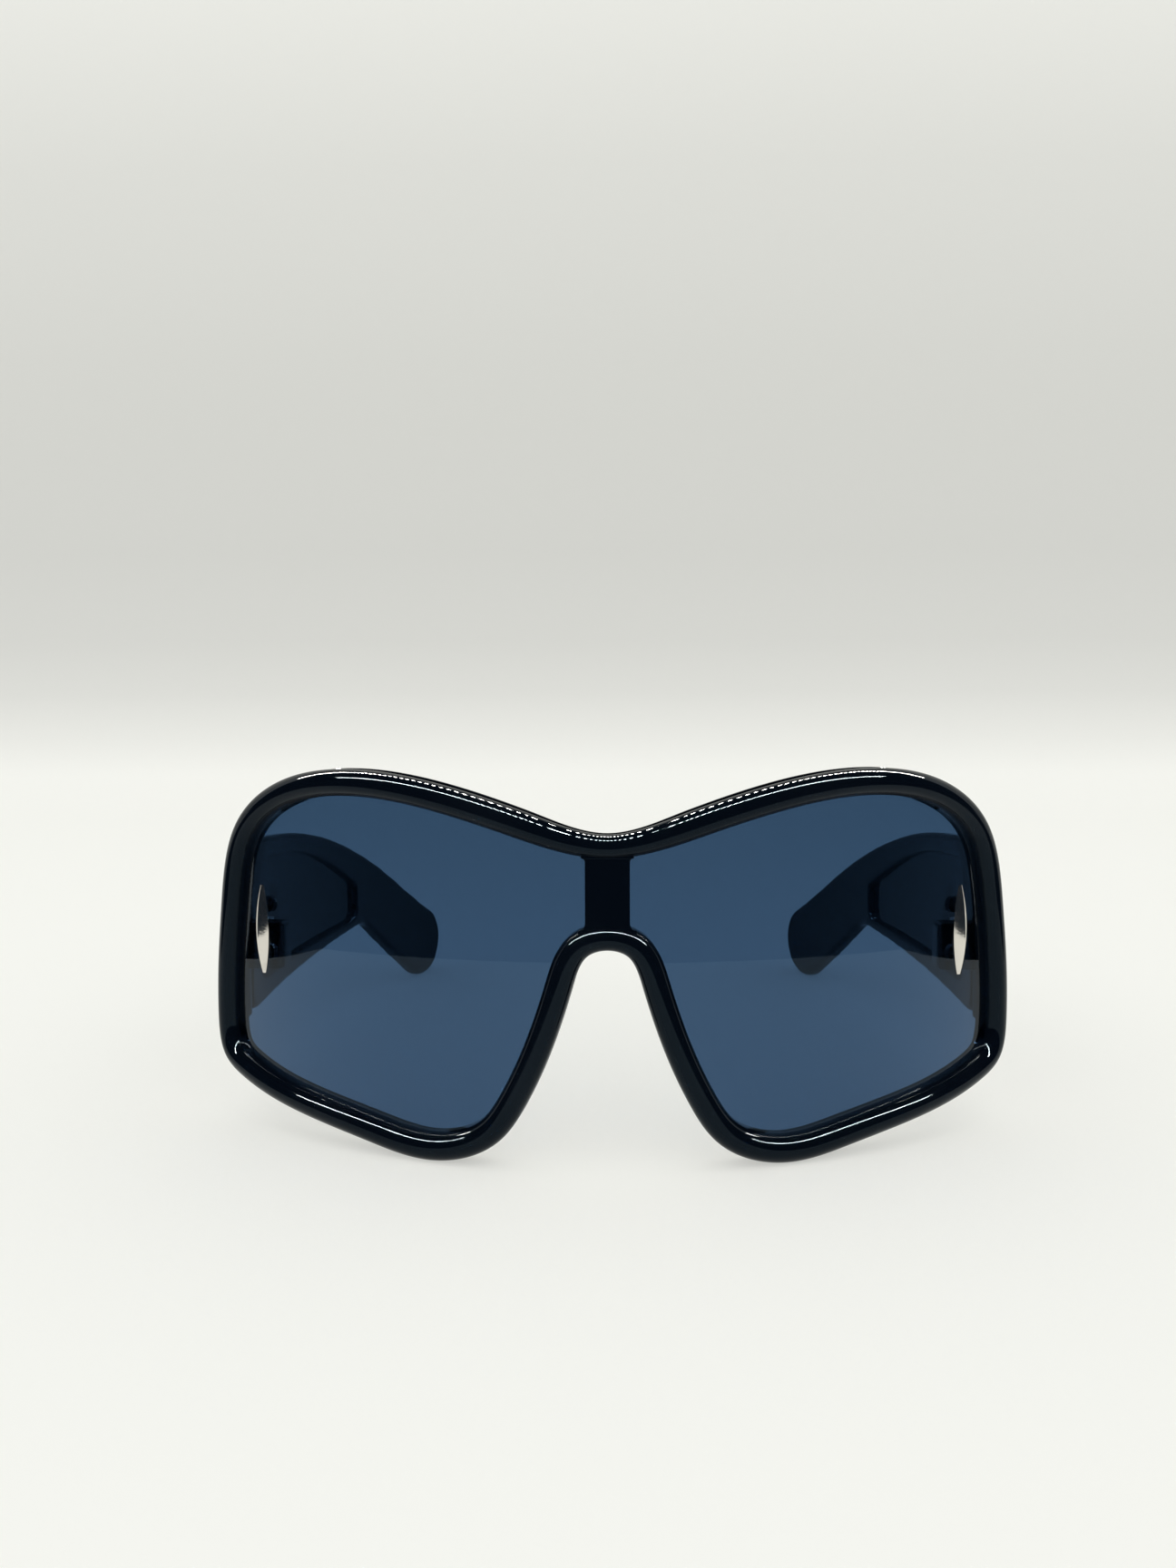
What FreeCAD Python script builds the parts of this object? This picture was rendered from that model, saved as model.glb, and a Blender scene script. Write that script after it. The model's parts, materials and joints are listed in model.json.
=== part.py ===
"""Shield sunglasses: a wrapped front with one tinted pane, two studs and two folding temples.

Millimetres, +Z up. The front faces -Y and the temples run to +Y. Left and right are the wearer's,
so left is +X. Pieces are drawn with the front's foremost point at y = 0, and each Placement then
moves them so that the origin is the middle of the footprint, on the table that they stand on.
"""
import FreeCAD, Part
import math
import os
import Sketcher

Vector = FreeCAD.Vector

doc = FreeCAD.newDocument("shield_sunglasses")

# Driving dimensions
DIMENSIONS = {
    # whole object
    "overall_width": 150.0,
    "overall_height": 67.0,
    "overall_depth": 152.0,
    "wrap_radius": 110.0,
    # rim section
    "rim_width": 4.7,
    "brow_centre_width": 4.0,
    "nose_arch_width": 3.6,
    "width_blend": 16.0,
    "bead_crown": 2.35,
    "rim_depth": 6.0,
    "rim_back_round": 0.9,
    "front_lip": 0.2,
    "groove_depth": 1.3,
    # rim outline, brow: drops from the top, insets from the side
    "brow_dip_drop": 10.3,
    "brow_rise_x": 14.0,
    "brow_rise_drop": 8.95,
    "hump_inset": 29.0,
    "shoulder_inset": 15.7,
    "shoulder_drop": 5.3,
    "flank_inset": 7.3,
    "flank_drop": 13.0,
    "cheek_inset": 3.9,
    "cheek_drop": 27.0,
    # rim outline, side and sill
    "side_height": 19.5,
    "corner_inset": 3.6,
    "corner_height": 12.5,
    "sill_end_inset": 7.1,
    "sill_end_height": 10.1,
    "sill_mid_inset": 22.9,
    "sill_mid_height": 6.0,
    "sill_sag": 0.32,
    "lobe_x": 29.6,
    # rim outline, nose
    "nose_turn_x": 19.8,
    "nose_turn_height": 6.2,
    "nose_foot_x": 16.1,
    "nose_foot_height": 11.4,
    "nose_flank_x": 8.1,
    "nose_flank_drop": 5.9,
    "nose_arch_x": 4.5,
    "nose_arch_rise": 0.5,
    "nose_apex_drop": 29.6,
    # pane
    "lens_thickness": 2.0,
    "lens_clearance": 0.05,
    "lens_edge_clearance": 0.1,
    # centre strut
    "strut_width": 7.4,
    "strut_front": 1.2,
    "strut_flare": 1.1,
    # studs
    "stud_inset": 11.05,
    "stud_drop": 30.3,
    "stud_length": 16.4,
    "stud_half_width": 1.7,
    "stud_end_half_width": 0.7,
    "stud_sink": 0.5,
    "stud_seat_gap": 0.03,
    "post_radius": 0.6,
    "post_pitch": 9.0,
    "post_stand_out": 1.3,
    "post_hole_clearance": 0.05,
    "retainer_radius": 1.5,
    "retainer_thickness": 0.9,
    # end piece and hinge boss
    "butt_setback": 5.44,
    "butt_gap": 0.15,
    "root_bottom": 17.3,
    "root_drop": 15.2,
    "end_piece_depth": 5.0,
    "end_piece_tuck": 2.4,
    "end_piece_step": 1.6,
    "end_piece_drop": 4.5,
    "boss_reach": 7.6,
    "boss_depth": 3.8,
    "boss_wall": 0.8,
    # hinge
    "hinge_below_middle": 2.7,
    "leaf_height": 7.2,
    "leaf_thickness": 1.0,
    "seat_clearance": 0.03,
    "pivot_inset": 2.5,
    "pivot_setback": 2.2,
    "knuckle_radius": 1.6,
    "middle_knuckle": 2.4,
    "knuckle_gap": 0.06,
    "screw_radius": 0.7,
    "screw_clearance": 0.05,
    "screw_head_radius": 1.25,
    "screw_head_height": 0.7,
    "screw_slot_width": 0.4,
    "screw_slot_depth": 0.35,
    # temples
    "temple_thickness": 3.6,
    "temple_inset": 1.9,
    "seat_length": 11.0,
    "tip_inset": 18.7,
    "temple_brow_reach": 59.9,
    "temple_brow_drop": 19.2,
    "tip_radius": 9.4,
    "ear_bend_reach": 72.3,
    "ear_bend_drop": 45.3,
    "root_round": 4.0,
    "ear_bend_round": 12.0,
    "temple_edge_round": 1.2,
    "panel_border": 5.2,
    "panel_top_border": 5.0,
    "panel_front_reach": 6.5,
    "panel_peak_reach": 40.1,
    "panel_peak_border": 2.5,
    "panel_back_reach": 67.0,
    "panel_back_border": 2.0,
    "panel_back_height": 8.8,
    "panel_depth": 1.5,
    "panel_round": 6.0,
    "panel_peak_round": 88.0,
    "panel_corner_round": 3.0,
    "panel_edge_round": 0.7,
    "hinge_pad_length": 12.0,
    "temple_leaf_length": 8.0,
}

sizes = doc.addObject("Spreadsheet::Sheet", "sizes")
for row, (alias, number) in enumerate(DIMENSIONS.items(), start=1):
    sizes.set("A%d" % row, alias)
    sizes.set("B%d" % row, str(number))
    sizes.setAlias("B%d" % row, alias)
doc.recompute()


class Size:
    """A number that remembers the sheet formula that it came from."""

    def __init__(self, value, formula):
        self.value = value
        self.formula = formula

    def __add__(self, other):
        other = as_size(other)
        return Size(self.value + other.value, "(%s + %s)" % (self.formula, other.formula))

    def __sub__(self, other):
        other = as_size(other)
        return Size(self.value - other.value, "(%s - %s)" % (self.formula, other.formula))

    def __mul__(self, other):
        other = as_size(other)
        return Size(self.value * other.value, "(%s * %s)" % (self.formula, other.formula))

    def __truediv__(self, other):
        other = as_size(other)
        return Size(self.value / other.value, "(%s / %s)" % (self.formula, other.formula))

    def __neg__(self):
        return Size(-self.value, "(0 - %s)" % self.formula)

    def square_root(self):
        return Size(math.sqrt(self.value), "sqrt(%s)" % self.formula)


def as_size(number):
    if isinstance(number, Size):
        return number
    return Size(float(number), repr(float(number)))


def size(alias):
    return Size(float(sizes.get(alias)), "sizes.%s" % alias)


def bind(thing, path, amount):
    """Ties one property of an object to its sheet formula."""
    thing.setExpression(path, as_size(amount).formula)


def to_origin(thing):
    """Moves a finished piece from the front's foremost point to the footprint's middle."""
    bind(thing, "Placement.Base.y", -size("overall_depth") / 2)
    return thing


TOUCH = 0.001
BROW_ROUND_SHARE = 2.76

# Sizes that several pieces share
half_width = size("overall_width") / 2
half_rim = size("rim_width") / 2
bead_radius = size("wrap_radius") - size("bead_crown")
lens_front_radius = bead_radius - size("front_lip") - size("lens_clearance")
side_x = half_width - half_rim
side_depth = size("wrap_radius") - (bead_radius * bead_radius - side_x * side_x).square_root()
butt_y = side_depth + size("butt_setback")
root_y = butt_y + size("butt_gap")
root_top = size("overall_height") - size("root_drop")
temple_outer_x = half_width - size("temple_inset")
temple_inner_x = temple_outer_x - size("temple_thickness")
tip_inner_x = temple_inner_x - size("tip_inset")
seat_end_y = butt_y + size("seat_length")
brow_y = butt_y + size("temple_brow_reach")
brow_height = size("overall_height") - size("temple_brow_drop")
brow_round = (size("overall_depth") - brow_y) * BROW_ROUND_SHARE
ear_y = butt_y + size("ear_bend_reach")
ear_height = size("overall_height") - size("ear_bend_drop")
nose_apex = size("overall_height") - size("nose_apex_drop")
pivot_x = temple_inner_x - size("pivot_inset")
pivot_y = butt_y + size("pivot_setback")
pad_end_y = butt_y + size("hinge_pad_length") + TOUCH
hinge_height = (size("root_bottom") + root_top) / 2 - size("hinge_below_middle")
leaf_bottom = hinge_height - size("leaf_height") / 2
leaf_top = hinge_height + size("leaf_height") / 2
SIDES = {"left": 1, "right": -1}


# Solids from boxes and cylinders
def box(name, low_x, low_y, low_z, length, width, height, side=1):
    """A box by its lowest corner on the left side, or its mirror image on the right side."""
    block = doc.addObject("Part::Box", name)
    bind(block, "Length", length)
    bind(block, "Width", width)
    bind(block, "Height", height)
    bind(block, "Placement.Base.x", low_x if side > 0 else -(low_x + length))
    bind(block, "Placement.Base.y", low_y)
    bind(block, "Placement.Base.z", low_z)
    return block


def pillar(name, centre_x, centre_y, low_z, radius, height, side=1):
    """An upright cylinder, mirrored for the right side."""
    rod = doc.addObject("Part::Cylinder", name)
    bind(rod, "Radius", radius)
    bind(rod, "Height", height)
    bind(rod, "Placement.Base.x", centre_x if side > 0 else -centre_x)
    bind(rod, "Placement.Base.y", centre_y)
    bind(rod, "Placement.Base.z", low_z)
    return rod


def fuse(name, pieces):
    joined = doc.addObject("Part::MultiFuse", name)
    joined.Shapes = pieces
    joined.Refine = True
    return joined


def cut(name, base, tool):
    left_over = doc.addObject("Part::Cut", name)
    left_over.Base = base
    left_over.Tool = tool
    return left_over


# Sketches and pads
def outline_sketch(body, name, plane, corners, arcs=None):
    """A closed sketch through corners, each pinned to the sheet, with straight or round sides.

    arcs maps a side's number to (radius, turns_left): that side is an arc between its corners.
    """
    arcs = arcs or {}
    sketch = body.newObject("Sketcher::SketchObject", name)
    support = [f for f in body.Origin.OriginFeatures if f.Role == plane][0]
    sketch.AttachmentSupport = [(support, "")]
    sketch.MapMode = "FlatFace"
    points = [Vector(as_size(a).value, as_size(b).value, 0) for a, b in corners]
    count = len(points)
    for side in range(count):
        start = points[side]
        end = points[(side + 1) % count]
        if side in arcs:
            radius, turns_left = arcs[side]
            sketch.addGeometry(arc_between(start, end, as_size(radius).value, turns_left))
        else:
            sketch.addGeometry(Part.LineSegment(start, end))
    for side in range(count):
        following = (side + 1) % count
        end_point = 2 if arcs.get(side, (0, True))[1] else 1
        start_point = 1 if arcs.get(following, (0, True))[1] else 2
        sketch.addConstraint(Sketcher.Constraint("Coincident", side, end_point, following, start_point))
    for side, (across, up) in enumerate(corners):
        start_point = 1 if arcs.get(side, (0, True))[1] else 2
        for kind, amount in (("DistanceX", across), ("DistanceY", up)):
            amount = as_size(amount)
            index = sketch.addConstraint(Sketcher.Constraint(kind, side, start_point, amount.value))
            bind(sketch, "Constraints[%d]" % index, amount)
    for side, (radius, turns_left) in arcs.items():
        radius = as_size(radius)
        index = sketch.addConstraint(Sketcher.Constraint("Radius", side, radius.value))
        bind(sketch, "Constraints[%d]" % index, radius)
    return sketch


def arc_between(start, end, radius, turns_left):
    """The shorter arc of a radius between two points, turning left or right on the way."""
    middle = (start + end) / 2
    half_chord = (end - start).Length / 2
    reach = math.sqrt(radius ** 2 - half_chord ** 2)
    along = (end - start).normalize()
    left = Vector(-along.y, along.x, 0)
    centre = middle + left * (reach if turns_left else -reach)
    first, last = (start, end) if turns_left else (end, start)
    circle = Part.Circle(centre, Vector(0, 0, 1), radius)
    angles = [math.atan2(p.y - centre.y, p.x - centre.x) for p in (first, last)]
    return Part.ArcOfCircle(circle, angles[0], angles[1])


def pad(body, name, sketch, length, reverse=False, two_sided=False):
    feature = body.newObject("PartDesign::Pad", name)
    feature.Profile = sketch
    bind(feature, "Length", length)
    feature.Reversed = reverse
    if two_sided:
        feature.SideType = "Symmetric"
    return feature


def pocket(body, name, sketch, length):
    """Cuts a sketch's outline to the same depth on both sides of its plane."""
    feature = body.newObject("PartDesign::Pocket", name)
    feature.Profile = sketch
    bind(feature, "Length", length)
    feature.SideType = "Symmetric"
    return feature


def round_edges(body, name, wanted, radius):
    """Fillets the edges of the body's last feature that the test picks."""
    doc.recompute()
    base = body.Tip
    names = ["Edge%d" % number for number, edge in enumerate(base.Shape.Edges, start=1) if wanted(edge)]
    feature = body.newObject("PartDesign::Fillet", name)
    feature.Base = (base, names)
    bind(feature, "Radius", radius)
    return feature


# Rim centre line, on the front's surface rolled out flat
def rolled_out(x, z):
    """A point of the front view, on the bead's cylinder, in rolled-out coordinates."""
    return Vector(bead_radius.value * math.asin(x.value / bead_radius.value), z.value, 0)


def rim_centre_line():
    """Half of the rim's centre line, from the brow's middle round the pane to the nose arch."""
    top = size("overall_height")
    zero = as_size(0)
    sill_mid = half_width - size("sill_mid_inset")
    points = [
        (zero, top - size("brow_dip_drop") - size("brow_centre_width") / 2),
        (size("brow_rise_x"), top - size("brow_rise_drop")),
        (half_width - size("hump_inset"), top - half_rim),
        (half_width - size("shoulder_inset"), top - size("shoulder_drop")),
        (half_width - size("flank_inset"), top - size("flank_drop")),
        (half_width - size("cheek_inset"), top - size("cheek_drop")),
        (side_x, size("side_height")),
        (half_width - size("corner_inset"), size("corner_height")),
        (half_width - size("sill_end_inset"), size("sill_end_height")),
        (sill_mid, size("sill_mid_height")),
        ((sill_mid + size("lobe_x")) / 2, (size("sill_mid_height") + half_rim) / 2 - size("sill_sag")),
        (size("lobe_x"), half_rim),
        (size("nose_turn_x"), size("nose_turn_height")),
        (size("nose_foot_x"), size("nose_foot_height")),
        (size("nose_flank_x"), nose_apex - size("nose_flank_drop")),
        (size("nose_arch_x"), nose_apex + size("nose_arch_rise")),
        (zero, nose_apex + size("nose_arch_width") / 2),
    ]
    curve = Part.BSplineCurve()
    curve.interpolate(
        Points=[rolled_out(x, z) for x, z in points],
        InitialTangent=Vector(1, 0, 0),
        FinalTangent=Vector(-1, 0, 0),
    )
    return curve


RIM_STATIONS = 72
FINE_STEPS = 1500
TURN_WEIGHT = 10.0


def rim_width_at(along, length):
    """Width of the rim at a distance along the half centre line: it slims at both ends."""
    width = size("rim_width").value
    blend = size("width_blend").value
    slim_ends = (
        (size("brow_centre_width").value, along),
        (size("nose_arch_width").value, length - along),
    )
    for end_width, distance in slim_ends:
        if distance < blend:
            ease = 0.5 + 0.5 * math.cos(math.pi * distance / blend)
            width += (end_width - size("rim_width").value) * ease
    return width


def rim_stations():
    """Sections' places along the half centre line, closer together where it turns.

    Each is a place, the outward direction there and half of the rim's width.
    """
    curve = rim_centre_line()
    length = curve.length()
    step = length / FINE_STEPS
    fine = []
    travelled = 0.0
    for number in range(FINE_STEPS + 1):
        parameter = curve.parameterAtDistance(step * number)
        tangent = curve.tangent(parameter)[0]
        if fine:
            travelled += step + TURN_WEIGHT * tangent.getAngle(fine[-1][2])
        fine.append((travelled, step * number, tangent, curve.value(parameter)))
    stations = []
    number = 0
    for station in range(RIM_STATIONS + 1):
        while number < FINE_STEPS and fine[number][0] < travelled * station / RIM_STATIONS:
            number += 1
        along, tangent, place = fine[number][1:]
        stations.append((place, Vector(-tangent.y, tangent.x, 0), rim_width_at(along, length) / 2))
    return stations


def on_front(place, outward, ahead, aside):
    """A point of a rim section: ahead is towards the viewer, aside is away from the pane."""
    angle = place.x / bead_radius.value
    radial = Vector(math.sin(angle), -math.cos(angle), 0)
    around = Vector(math.cos(angle), math.sin(angle), 0)
    axis = Vector(0, size("wrap_radius").value, place.y)
    sideways = around * outward.x + Vector(0, 0, outward.y)
    return axis + radial * (bead_radius.value + ahead) + sideways * aside


QUARTER_ROUND = 0.5523


def rim_section(place, outward, half):
    """Closed section of the rim: round bead in front, groove for the pane, softened back."""
    crown = size("bead_crown").value
    back = crown - size("rim_depth").value
    soft = size("rim_back_round").value
    lip = -size("front_lip").value
    groove_back = lip - size("lens_thickness").value - 2 * size("lens_clearance").value
    groove_floor = size("groove_depth").value - half

    def corner(ahead, aside):
        return on_front(place, outward, ahead, aside)

    def quarter(start, bend, end):
        """A quarter round from start to end that leans on the corner at bend."""
        first = [s + QUARTER_ROUND * (b - s) for s, b in zip(start, bend)]
        second = [e + QUARTER_ROUND * (b - e) for e, b in zip(end, bend)]
        curve = Part.BezierCurve()
        curve.setPoles([corner(*start), corner(*first), corner(*second), corner(*end)])
        return curve.toShape()

    def line(start, end):
        return Part.LineSegment(corner(*start), corner(*end)).toShape()

    return Part.Wire([
        quarter((0, half), (crown, half), (crown, 0)),
        quarter((crown, 0), (crown, -half), (0, -half)),
        line((0, -half), (lip, -half)),
        line((lip, -half), (lip, groove_floor)),
        line((lip, groove_floor), (groove_back, groove_floor)),
        line((groove_back, groove_floor), (groove_back, -half)),
        line((groove_back, -half), (back + soft, -half)),
        quarter((back + soft, -half), (back, -half), (back, soft - half)),
        line((back, soft - half), (back, half - soft)),
        quarter((back, half - soft), (back, half), (back + soft, half)),
        line((back + soft, half), (0, half)),
    ])


def rim_halves():
    """The two halves of the rim, lofted through sections and mirrored."""
    sections = [rim_section(*station) for station in rim_stations()]
    left = doc.addObject("Part::Feature", "left_rim")
    left.Shape = Part.makeLoft(sections, True, False)
    right = doc.addObject("Part::Mirroring", "right_rim")
    right.Source = left
    right.Base = Vector(0, 0, 0)
    right.Normal = Vector(1, 0, 0)
    return [left, right]


# Front frame
def centre_strut():
    """Flat bar in front of the pane, from the brow to the nose arch, with flared ends."""
    body = doc.addObject("PartDesign::Body", "centre_strut")
    half = size("strut_width") / 2
    flare = size("strut_flare")
    wide = half + flare
    top_end = size("overall_height") - size("brow_dip_drop") - size("brow_centre_width") / 2
    top_edge = top_end - size("brow_centre_width") / 2
    low_end = nose_apex + size("nose_arch_width") / 2
    low_edge = low_end + size("nose_arch_width") / 2 - flare
    corners = [
        (-wide, top_end), (-wide, top_edge), (-half, top_edge - flare),
        (-half, low_edge + flare), (-wide, low_edge), (-half, low_end),
        (half, low_end), (wide, low_edge), (half, low_edge + flare),
        (half, top_edge - flare), (wide, top_edge), (wide, top_end),
    ]
    arcs = {1: (flare, False), 3: (flare, False), 7: (flare, False), 9: (flare, False)}
    sketch = outline_sketch(body, "strut_outline", "XZ_Plane", corners, arcs)
    thickness = size("bead_crown") + size("front_lip") - size("strut_front")
    bind(sketch, "AttachmentOffset.Base.z", -size("strut_front"))
    pad(body, "strut_pad", sketch, thickness, reverse=True)
    return body


def end_piece(name, side):
    """Block behind the rim's side that carries the temple's butt joint."""
    body = doc.addObject("PartDesign::Body", name + "_end_piece")
    outer = temple_outer_x
    inner = temple_inner_x
    front = butt_y - size("end_piece_depth")
    corners = [
        (outer, front), (outer, butt_y), (inner, butt_y), (inner, butt_y - size("end_piece_step")),
        (inner + size("end_piece_tuck"), front + size("end_piece_step") / 2),
    ]
    corners = [(across if side > 0 else -across, along) for across, along in corners]
    sketch = outline_sketch(body, name + "_end_outline", "XY_Plane", corners)
    low = size("root_bottom")
    bind(sketch, "AttachmentOffset.Base.z", low)
    pad(body, name + "_end_pad", sketch, root_top - size("end_piece_drop") - low)
    return body


def hinge_boss(name, side):
    """Moulded lug behind the pane's edge that holds the front leaf of the hinge."""
    wall = size("boss_wall")
    return box(
        name + "_boss",
        temple_inner_x - size("boss_reach"), butt_y - size("boss_depth"), leaf_bottom - wall,
        size("boss_reach") + wall, size("boss_depth"), size("leaf_height") + wall * 2, side,
    )


def leaf_length():
    """Length across of the front leaf, inside the boss's walls."""
    return size("boss_reach") - size("boss_wall")


def front_frame():
    solids = rim_halves() + [centre_strut()]
    pockets = []
    room = size("seat_clearance")
    for name, side in SIDES.items():
        solids += [end_piece(name, side), hinge_boss(name, side)]
        pockets.append(box(
            name + "_leaf_pocket",
            temple_inner_x - leaf_length() - room,
            butt_y - size("leaf_thickness") - room,
            leaf_bottom - room,
            leaf_length() + room * 2, size("leaf_thickness") + room, size("leaf_height") + room * 2, side,
        ))
    return to_origin(cut("front_frame", fuse("front_solid", solids), fuse("leaf_pockets", pockets)))


# Pane
def lens_blank():
    """The pane before drilling: the rim's line drawn in, on a cylinder, and thickened inwards."""
    half_outline = []
    for place, outward, half in rim_stations():
        inset = half - size("groove_depth").value + size("lens_edge_clearance").value
        half_outline.append(place - outward * inset)
    surface = Part.Cylinder()
    surface.Radius = lens_front_radius.value
    surface.Center = Vector(0, size("wrap_radius").value, 0)
    front_angle = 1.5 * math.pi
    round_trip = half_outline + [Vector(-point.x, point.y, 0) for point in reversed(half_outline[1:-1])]
    travelled = [0.0]
    for start, end in zip(round_trip, round_trip[1:] + round_trip[:1]):
        travelled.append(travelled[-1] + (end - start).Length)
    curve = Part.Geom2d.BSplineCurve2d()
    curve.interpolate(
        Points=[FreeCAD.Base.Vector2d(front_angle + p.x / bead_radius.value, p.y) for p in round_trip],
        PeriodicFlag=True,
        Parameters=travelled,
    )
    face = Part.Face(Part.Wire([curve.toShape(surface)]))
    blank = doc.addObject("Part::Feature", "lens_blank")
    blank.Shape = face.makeOffsetShape(-size("lens_thickness").value, TOUCH, fill=True)
    return blank


def stud_frame(side):
    """Placement of a stud: its flat back on the pane's front, its face outwards."""
    stud_x = half_width - size("stud_inset")
    angle = math.asin(stud_x.value / lens_front_radius.value) * side
    radius = lens_front_radius.value + size("stud_seat_gap").value
    axis_y = size("wrap_radius").value
    height = size("overall_height") - size("stud_drop")
    place = Vector(radius * math.sin(angle), axis_y - radius * math.cos(angle), height.value)
    return FreeCAD.Placement(place, FreeCAD.Rotation(Vector(0, 0, 1), math.degrees(angle)))


def stud_posts(name, side, radius, length, back):
    """Two bars square to the pane, from in front of its back to behind it."""
    bars = []
    for end, way in (("upper", 1), ("lower", -1)):
        bar = doc.addObject("Part::Cylinder", "%s_%s" % (name, end))
        bind(bar, "Radius", radius)
        bind(bar, "Height", length)
        local = FreeCAD.Placement(
            Vector(0, as_size(back).value, way * size("post_pitch").value / 2),
            FreeCAD.Rotation(Vector(1, 0, 0), -90),
        )
        bar.Placement = stud_frame(side).multiply(local)
        bars.append(bar)
    return bars


def shield_lens():
    drills = []
    for name, side in SIDES.items():
        radius = size("post_radius") + size("post_hole_clearance")
        depth = size("lens_thickness") * 2
        drills += stud_posts(name + "_drill", side, radius, depth, -size("lens_thickness") / 2)
    return to_origin(cut("shield_lens", lens_blank(), fuse("lens_drills", drills)))


# Studs and what holds them
def stud(name, side):
    """Domed leaf-shaped stud: a blunt spindle cut flat in front of its axis, with two posts."""
    body = doc.addObject("PartDesign::Body", name + "_stud_head")
    half = size("stud_length") / 2
    swell = size("stud_half_width")
    blunt = size("stud_end_half_width")
    rise = swell - blunt
    radius = (half * half + rise * rise) / (rise * 2)
    corners = [(0, -half), (blunt, -half), (blunt, half), (0, half)]
    sketch = outline_sketch(body, name + "_stud_arc", "XZ_Plane", corners, {1: (radius, True)})
    spin = body.newObject("PartDesign::Revolution", name + "_stud_spin")
    spin.Profile = sketch
    spin.ReferenceAxis = (sketch, ["V_Axis"])
    wide = swell * 2
    sink = -size("stud_sink")
    corners = [(-wide, sink), (wide, sink), (wide, wide), (-wide, wide)]
    waste = outline_sketch(body, name + "_stud_waste", "XY_Plane", corners)
    pocket(body, name + "_stud_flat", waste, half * 4)
    doc.recompute()
    raised = FreeCAD.Placement(Vector(0, size("stud_sink").value, 0), FreeCAD.Rotation())
    body.Placement = stud_frame(side).multiply(raised)
    root = size("stud_sink") / 2
    length = root + size("lens_thickness") + size("post_stand_out")
    posts = stud_posts(name + "_post", side, size("post_radius"), length, -root)
    return to_origin(fuse(name + "_plaque", [body] + posts))


def stud_retainers(name, side):
    """Two push-on collars on the posts, behind the pane."""
    back = size("lens_thickness") + size("stud_seat_gap") * 2
    collars = stud_posts(name + "_collar", side, size("retainer_radius"), size("retainer_thickness"), back)
    through = back + size("retainer_thickness") * 2
    bores = stud_posts(name + "_collar_bore", side, size("post_radius"), through, as_size(0))
    title = name + "_plaque_retainers"
    return to_origin(cut(title, fuse(name + "_collars", collars), fuse(name + "_bores", bores)))


# Hinges
knuckle_length = (size("leaf_height") - size("middle_knuckle")) / 2 - size("knuckle_gap")
middle_bottom = hinge_height - size("middle_knuckle") / 2


def front_hinge(name, side):
    """Leaf set in the boss, with an upper and a lower knuckle round the screw."""
    title = name + "_front_hinge"
    web = size("knuckle_radius") * 2 - size("knuckle_gap") * 2
    half_leaf = size("leaf_thickness") / 2
    pieces = [box(
        title + "_leaf",
        temple_inner_x - leaf_length(), butt_y - size("leaf_thickness"), leaf_bottom,
        leaf_length(), size("leaf_thickness"), size("leaf_height"), side,
    )]
    for end, low in (("lower", leaf_bottom), ("upper", leaf_top - knuckle_length)):
        pieces.append(pillar(
            title + "_" + end, pivot_x, pivot_y, low, size("knuckle_radius"), knuckle_length, side,
        ))
        pieces.append(box(
            title + "_web_" + end, pivot_x - web / 2, butt_y - half_leaf, low,
            web, size("pivot_setback") + half_leaf, knuckle_length, side,
        ))
    tap = pillar(
        title + "_tap", pivot_x, pivot_y, leaf_bottom - knuckle_length, size("screw_radius"),
        size("leaf_height") / 2 + knuckle_length, side,
    )
    clear = pillar(
        title + "_clear", pivot_x, pivot_y, hinge_height,
        size("screw_radius") + size("screw_clearance"), size("leaf_height"), side,
    )
    return to_origin(cut(title, fuse(title + "_solid", pieces), fuse(title + "_bore", [tap, clear])))


def temple_hinge(name, side):
    """Leaf set in the temple's inner face, with the middle knuckle."""
    title = name + "_temple_hinge"
    low_y = pivot_y - size("knuckle_radius") / 2
    pieces = [
        box(
            title + "_leaf", temple_inner_x, low_y, leaf_bottom,
            size("leaf_thickness"), size("temple_leaf_length"), size("leaf_height"), side,
        ),
        box(
            title + "_arm", pivot_x, low_y, middle_bottom,
            size("pivot_inset") + size("leaf_thickness") / 2, size("knuckle_radius"),
            size("middle_knuckle"), side,
        ),
        pillar(
            title + "_knuckle", pivot_x, pivot_y, middle_bottom,
            size("knuckle_radius"), size("middle_knuckle"), side,
        ),
    ]
    bore = pillar(
        title + "_bore", pivot_x, pivot_y, leaf_bottom, size("screw_radius") + size("screw_clearance"),
        size("leaf_height"), side,
    )
    return to_origin(cut(title, fuse(title + "_solid", pieces), bore))


def hinge_screw(name, side):
    """Screw down through the knuckles, with a slotted head on the upper one."""
    title = name + "_hinge_screw"
    head = size("screw_head_radius")
    shank = pillar(
        title + "_shank", pivot_x, pivot_y, leaf_bottom, size("screw_radius"), size("leaf_height"), side,
    )
    cap = pillar(title + "_head", pivot_x, pivot_y, leaf_top, head, size("screw_head_height"), side)
    solid = fuse(title + "_solid", [shank, cap])
    slot = box(
        title + "_slot", pivot_x - head * 2, pivot_y - size("screw_slot_width") / 2,
        leaf_top + size("screw_head_height") - size("screw_slot_depth"),
        head * 4, size("screw_slot_width"), size("screw_slot_depth") * 2, side,
    )
    return to_origin(cut(title, solid, slot))


# Temples
def temple_bow_radius():
    """Radius of the temple's plan curve, which leaves the straight root smoothly."""
    inward = temple_inner_x - tip_inner_x
    along = size("overall_depth") - seat_end_y
    return (inward * inward + along * along) / (inward * 2)


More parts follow.
